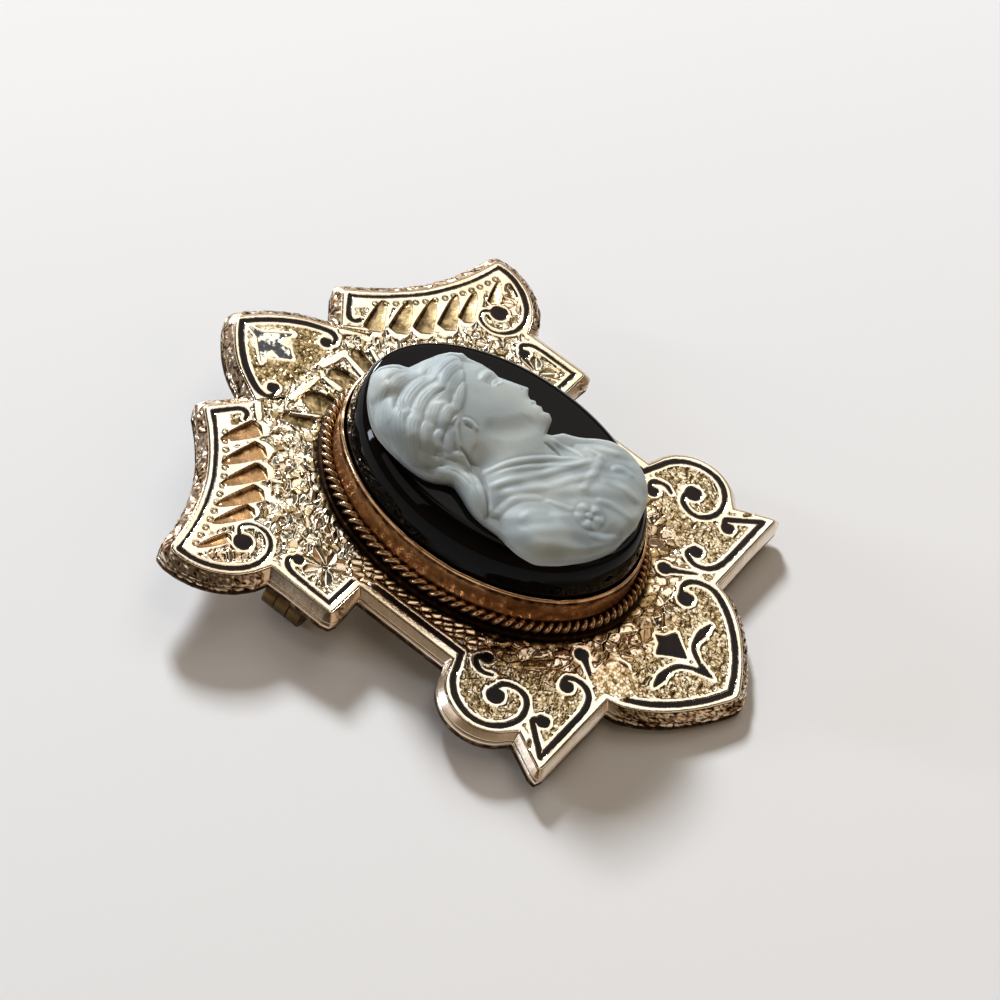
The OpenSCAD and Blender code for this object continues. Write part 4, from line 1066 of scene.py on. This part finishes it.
def carve(x, y):
    """Height of the bust above the stone, and how dark each place is painted: painted shade in its cuts, hollows,
    grooves and folds, and darker where the layer is thin.
    """
    total = np.zeros(len(x))
    for mx, my, half_w, half_l, high in MASSES:
        d = 1 - ((x - mx) / half_w) ** 2 - ((y - my) / half_l) ** 2
        total += np.exp(5 * high * np.sqrt(np.maximum(d, 0)))
    height = np.log(total) / 5 - 0.2
    cut = np.zeros(len(x))
    for a, b, c, wide, rise in RIDGES:
        d, way = bend_gap(x, y, a, b, c)
        d = d / (wide * (0.6 + 0.8 * np.sqrt(way * (1 - way))))
        swell = np.where(d < 1, (1 - d * d) ** 2, 0) * smooth(0.0, 0.15, way) * (1 - smooth(0.85, 1.0, way))
        height = height + rise * swell
        # Hollows, and lines beside the thin ridges, are painted dark: painted shade.
        if rise < 0:
            cut = np.maximum(cut, swell * min(1, -rise))
        elif wide < 0.4:
            beside = np.exp(-((d - 1.15) / 0.35) ** 2) * smooth(0.05, 0.25, way) * (1 - smooth(0.7, 0.95, way))
            height = height - 0.25 * rise * beside
            cut = np.maximum(cut, 0.9 * rise * beside)
    hair = within(x, y, HAIR_LINE)
    line = np.concatenate([np.linspace(a, b, 20) for a, b in zip(HAIR_LINE, HAIR_LINE[1:HAIR_FRONT])])
    edge = line_gap(x, y, line, 1.0)[0]
    # Hair: tapered locks over each other, each with a few combed strands that run out towards its ends.
    warp = 0.1 * np.sin(1.7 * x + 2.3 * y) + 0.06 * np.sin(3.1 * x - 2.7 * y + 1.0)
    lift = np.zeros(len(x))
    groove = np.zeros(len(x))
    for a, b, c, wide in LOCKS:
        d, way = bend_gap(x, y, a, b, c)
        ends = smooth(0.0, 0.22, way) * (1 - smooth(0.75, 1.0, way))
        width = wide * (0.45 + 0.75 * np.sqrt(way * (1 - way)) * 1.6)
        round_up = np.sqrt(np.clip(1 - (d / width) ** 2, 0, 1))
        strand = 0.5 + 0.5 * np.cos(2 * math.pi * (d + 0.3 * warp * wide) / (0.42 * width))
        rise = round_up * (0.09 + 0.06 * ends) + 0.02 * strand * ends * round_up
        # Painted shade between the strands and at the edges of the locks.
        groove = np.where(rise > lift, (1 - strand) * 0.14 * ends + 0.25 * (1 - smooth(0, 0.5, round_up)), groove)
        lift = np.maximum(lift, rise)
    hair_on = np.where(hair, smooth(0.0, 0.3, edge), 0)
    height = height + hair_on * (lift - 0.03) + np.where(hair, 0.08 * smooth(0, 0.25, edge), 0)
    cut = np.maximum(cut, hair_on * groove)
    # The dark line between the falling hair, the neck and the shoulder: a groove with painted shade in it.
    nape = bend_gap(x, y, (-3.0, 1.6), (-3.0, -0.9), (-5.8, -2.6))[0]
    height = height - 0.12 * np.exp(-(nape / 0.16) ** 2)
    cut = np.maximum(cut, 0.55 * np.exp(-(nape / 0.14) ** 2))
    # The rosette at the shoulder: gathered petals round a bead, with painted shade round the bead and round its
    # edge.
    r = np.hypot(x - ROSETTE[0], y - ROSETTE[1])
    angle = np.arctan2(y - ROSETTE[1], x - ROSETTE[0])
    petal = (0.6 + 0.4 * np.cos(angle * 5 + 0.4)) * np.clip(1 - ((r - 0.62) / 0.42) ** 2, 0, 1)
    height = height + 0.13 * petal * (r < 1.04) + 0.12 * np.sqrt(np.clip(1 - (r / 0.26) ** 2, 0, 1))
    cut = np.maximum(cut, 0.3 * np.exp(-((r - 0.3) / 0.08) ** 2) + 0.18 * np.exp(-((r - 1.02) / 0.12) ** 2))
    # Soft, uneven cloth between the folds, with painted shade in their troughs.
    cloth = smooth(-1.2, -2.4, y) * smooth(1.0, 1.6, r)
    fold = np.sin(1.3 * x + 2.1 * y + 1.2 * np.sin(0.9 * x))
    fold += 0.6 * np.sin(2.9 * x - 1.7 * y + 0.8 * np.sin(1.6 * y))
    fold += 0.5 * np.sin(4.1 * x + 3.3 * y + 1.5 * np.sin(1.1 * y))
    height = height + 0.035 * fold * cloth
    cut = np.maximum(cut, 0.07 * (1 - fold) * cloth)
    # Where the layer is cut thin, the black below darkens it.
    thin = 0.4 * (1 - smooth(0.5, 1.0, height))
    return height, np.clip(np.maximum(cut, thin), 0, 1)


def bust_piece():
    """The draped bust, raised in the pale layer, with its foot on the stone."""
    columns, lines = 190, 300
    bm = bmesh.new()
    bmesh.ops.create_grid(bm, x_segments=columns, y_segments=lines, size=0.5)
    co = place_of(bm)
    rows = np.array(BUST)
    low, high = rows[0, 0], rows[-1, 0]
    fine = np.linspace(low, high, 1200)
    # The back and the shoulder are rounder than the profile.
    ends = []
    for side in (1, 2):
        line = np.interp(fine, rows[:, 0], rows[:, side])
        soft = []
        for half in (5, 35):
            kernel = np.exp(-np.linspace(-2, 2, 2 * half + 1) ** 2)
            soft.append(np.convolve(np.pad(line, half, mode="edge"), kernel / kernel.sum(), mode="valid"))
        round_share = 1 if side == 1 else smooth(-2.0, -3.0, fine)
        ends.append(soft[0] + (soft[1] - soft[0]) * round_share)
    y = low + (high - low) * (co[:, 1] + 0.5)
    left, right = np.interp(y, fine, ends[0]), np.interp(y, fine, ends[1])
    x = left + (right - left) * (1 - np.cos(math.pi * (co[:, 0] + 0.5))) / 2
    height, cut = carve(x, y)
    # The edge rounds down to the stone over 0.9 mm.
    off = np.minimum(np.minimum(x - left, right - x), np.minimum((y - low) * 1.5 + 0.1, (high - y) * 1.5 + 0.1))
    e = np.maximum(off, 0) / 0.9
    swell = np.where(e < 1, np.sqrt(1 - (1 - np.minimum(e, 1)) ** 2), 1)
    height = 0.5 + (np.maximum(height, 0.6) - 0.5) * swell
    move_to(bm, np.column_stack([x, y, LAYER_Z + height]))
    edges = [edge for edge in bm.edges if edge.is_boundary]
    for v in fresh_verts(bmesh.ops.extrude_edge_only(bm, edges=edges)["geom"]):
        v.co.z = LAYER_Z
    foot = [edge for edge in bm.edges if edge.is_boundary]
    bmesh.ops.holes_fill(bm, edges=foot)
    bmesh.ops.triangulate(bm, faces=[f for f in bm.faces if len(f.verts) > 4])
    dirt_and_shade = np.concatenate([cut, np.zeros(len(bm.verts) - len(cut))])
    piece("bust_in_pale_layer", bm, LAYER, ("cameo_figure",), dirt_and_shade)


bust_piece()


def rod(bm, radius, length, middle, axis, bevel=0.06, segments=40):
    """A rod with softened ends, its middle at a place and its length along an axis."""
    turn = Vector((0, 0, 1)).rotation_difference(Vector(axis)).to_matrix().to_4x4()
    made = bmesh.ops.create_cone(bm, cap_ends=True, segments=segments, radius1=radius, radius2=radius, depth=length,
                                 matrix=Matrix.Translation(middle) @ turn)["verts"]
    rims = [e for e in edges_at(made) if any(len(f.verts) > 4 for f in e.link_faces)]
    bmesh.ops.bevel(bm, geom=rims, offset=bevel, affect="EDGES", segments=2, profile=0.5, material=-1)


def hinge_piece():
    """The hinge's two outer knuckles, their stems and the rivet."""
    bm = bmesh.new()
    for side in (-1, 1):
        middle = PIN_Y + side * 0.96
        rod(bm, 0.95, 0.9, (HINGE_X, middle, PIN_Z), (0, 1, 0))
        size = Matrix.Diagonal((1.52, 0.9, RECESS_Z - PIN_Z + 0.1, 1))
        stem = Matrix.Translation((HINGE_X, middle, (RECESS_Z + PIN_Z + 0.1) / 2)) @ size
        made = bmesh.ops.create_cube(bm, size=1, matrix=stem)["verts"]
        bmesh.ops.bevel(bm, geom=edges_at(made), offset=0.05, affect="EDGES", segments=2, profile=0.5, material=-1)
    rod(bm, 0.3, 1.92, (HINGE_X, PIN_Y, PIN_Z), (0, 1, 0), 0.04, 24)
    piece("hinge_knuckles", bm, BACK, ("frame",))


def catch_piece():
    """The catch: a strip bent down from the back and round under the pin."""
    inner, thick = 0.51, 0.5
    middle = inner + thick / 2
    turn = np.radians(np.linspace(0, -165, 23))
    path = [(middle, RECESS_Z - PIN_Z + 0.08)] + [(middle * math.cos(a), middle * math.sin(a)) for a in turn]
    bm = bmesh.new()
    verts = [bm.verts.new((CATCH_X, PIN_Y + y, PIN_Z + z)) for y, z in path]
    edges = [bm.edges.new(pair) for pair in zip(verts, verts[1:])]
    for v in fresh_verts(bmesh.ops.extrude_edge_only(bm, edges=edges)["geom"]):
        v.co.x += CATCH_W
    bmesh.ops.recalc_face_normals(bm, faces=bm.faces)
    bmesh.ops.solidify(bm, geom=list(bm.faces), thickness=thick)
    # The strip's middle goes back to its own radius, wherever the wall grew to.
    places = place_of(bm)
    drift = middle - np.hypot(places[:, 1] - PIN_Y, places[:, 2] - PIN_Z)[places[:, 2] < PIN_Z].mean()
    for v in bm.verts:
        gap = Vector((0, v.co.y - PIN_Y, min(v.co.z - PIN_Z, 0)))
        if gap.length > 0:
            v.co += gap.normalized() * drift
    rims = [e for e in bm.edges if e.calc_face_angle(0) > 1.2]
    bmesh.ops.bevel(bm, geom=rims, offset=0.06, affect="EDGES", segments=2, profile=0.5, material=-1)
    piece("hook_catch", bm, BACK, ("frame",))


hinge_piece()
catch_piece()

# The pin and the enamel stay as the frame has them, each with its finish.
for name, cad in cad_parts.items():
    look = {"pin": BACK, "enamel_top_leaf": ENAMEL_WORN}.get(name, ENAMEL_BLACK)
    if name == "pin" or name.startswith("enamel"):
        cad.data.materials.clear()
        cad.data.materials.append(look)


def floor():
    """A plain pale table top."""
    made, tree, place = material("pale_paper_matte")
    cloud = node(tree, "ShaderNodeTexNoise", {"Vector": place, "Scale": PAPER_CLOUDS, "Detail": 2.0})
    tone = node(tree, "ShaderNodeValToRGB", {"Fac": cloud.outputs["Fac"]}, ((0.3, "#e9e8e7"), (0.7, "#eceae8")))
    finish_material(made, tree, {"Base Color": tone.outputs[0], "Roughness": 0.9, "Specular IOR Level": 0.2})
    bm = bmesh.new()
    bmesh.ops.create_grid(bm, x_segments=1, y_segments=1, size=2.5)
    mesh = bpy.data.meshes.new("floor")
    bm.to_mesh(mesh)
    bm.free()
    mesh.materials.append(made)
    made = bpy.data.objects.new("floor", mesh)
    bpy.context.scene.collection.objects.link(made)


floor()


def lamp(name, place, aim, size, watts, colour):
    """A soft lamp: a bright oblong, turned towards its aim."""
    light = bpy.data.lights.new(name, "AREA")
    light.shape = "RECTANGLE"
    light.size, light.size_y = size
    light.energy = watts
    light.color = shade(colour)[:3]
    made = bpy.data.objects.new(name, light)
    made.location = place
    made.rotation_euler = (Vector(aim) - Vector(place)).to_track_quat("-Z", "Y").to_euler()
    bpy.context.scene.collection.objects.link(made)


# The window stands beyond the brooch, where the flat of the plate mirrors it to the camera. The small key beside it
# throws the short shadow, the ceiling and the two walls give the tilted cuts their middle tones, and the glint is
# the bright spot on the onyx's bevel.
lamp("window", (0.46, 0.10, 0.58), (0, 0, 0), (0.46, 0.36), 0.76, "#fffaf0")
lamp("key", (0.375, 0.511, 0.397), (0, 0, 0.003), (0.12, 0.12), 7.1, "#f2f8ff")
lamp("ceiling", (0.12, -0.05, 0.9), (0, 0, 0), (0.4, 0.45), 0.62, "#fff0dc")
lamp("left_wall", (-0.55, 0.4, 0.45), (0, 0, 0), (0.4, 0.35), 0.42, "#fff8f0")
lamp("front_wall", (0.05, -0.62, 0.42), (0, 0, 0), (0.6, 0.4), 0.42, "#ffe4c8")
lamp("left_glint", (-0.23, 0.475, 0.15), (0, 0, 0.008), (0.045, 0.15), 0.75, "#e4eeff")
# The room is warm, brighter near the horizon than overhead.
world = bpy.data.worlds.new("room")
world.use_nodes = True
back = world.node_tree.nodes["Background"]
up = node(world.node_tree, "ShaderNodeSeparateXYZ",
          {"Vector": node(world.node_tree, "ShaderNodeTexCoord").outputs["Generated"]}).outputs["Z"]
level = node(world.node_tree, "ShaderNodeMapRange",
             {"Value": up, "From Min": 0.3, "From Max": 0.7, "To Min": 0.34, "To Max": 0.05}).outputs["Result"]
world.node_tree.links.new(level, back.inputs["Strength"])
back.inputs["Color"].default_value = shade("#dcbf98")
bpy.context.scene.world = world
bpy.context.scene.view_settings.view_transform = "Standard"


def camera():
    """The photograph's view: distance, height over the table, bearing, roll and the place it looks at."""
    aim = Vector((-0.326, -1.413, 5.0)) * MM
    distance = 0.20089
    rise, bearing, roll = math.radians(47.919), math.radians(65.918), math.radians(15.278)
    ahead = Vector((math.cos(rise) * math.sin(bearing), math.cos(rise) * math.cos(bearing), -math.sin(rise)))
    lens = bpy.data.cameras.new("camera")
    lens.lens = 115.38
    lens.sensor_width = 36
    lens.clip_start = 0.01
    made = bpy.data.objects.new("camera", lens)
    level = ahead.to_track_quat("-Z", "Y").to_matrix().to_4x4()
    made.matrix_world = Matrix.Translation(aim - ahead * distance) @ level @ Matrix.Rotation(roll, 4, "Z")
    bpy.context.scene.collection.objects.link(made)
    bpy.context.scene.camera = made


camera()
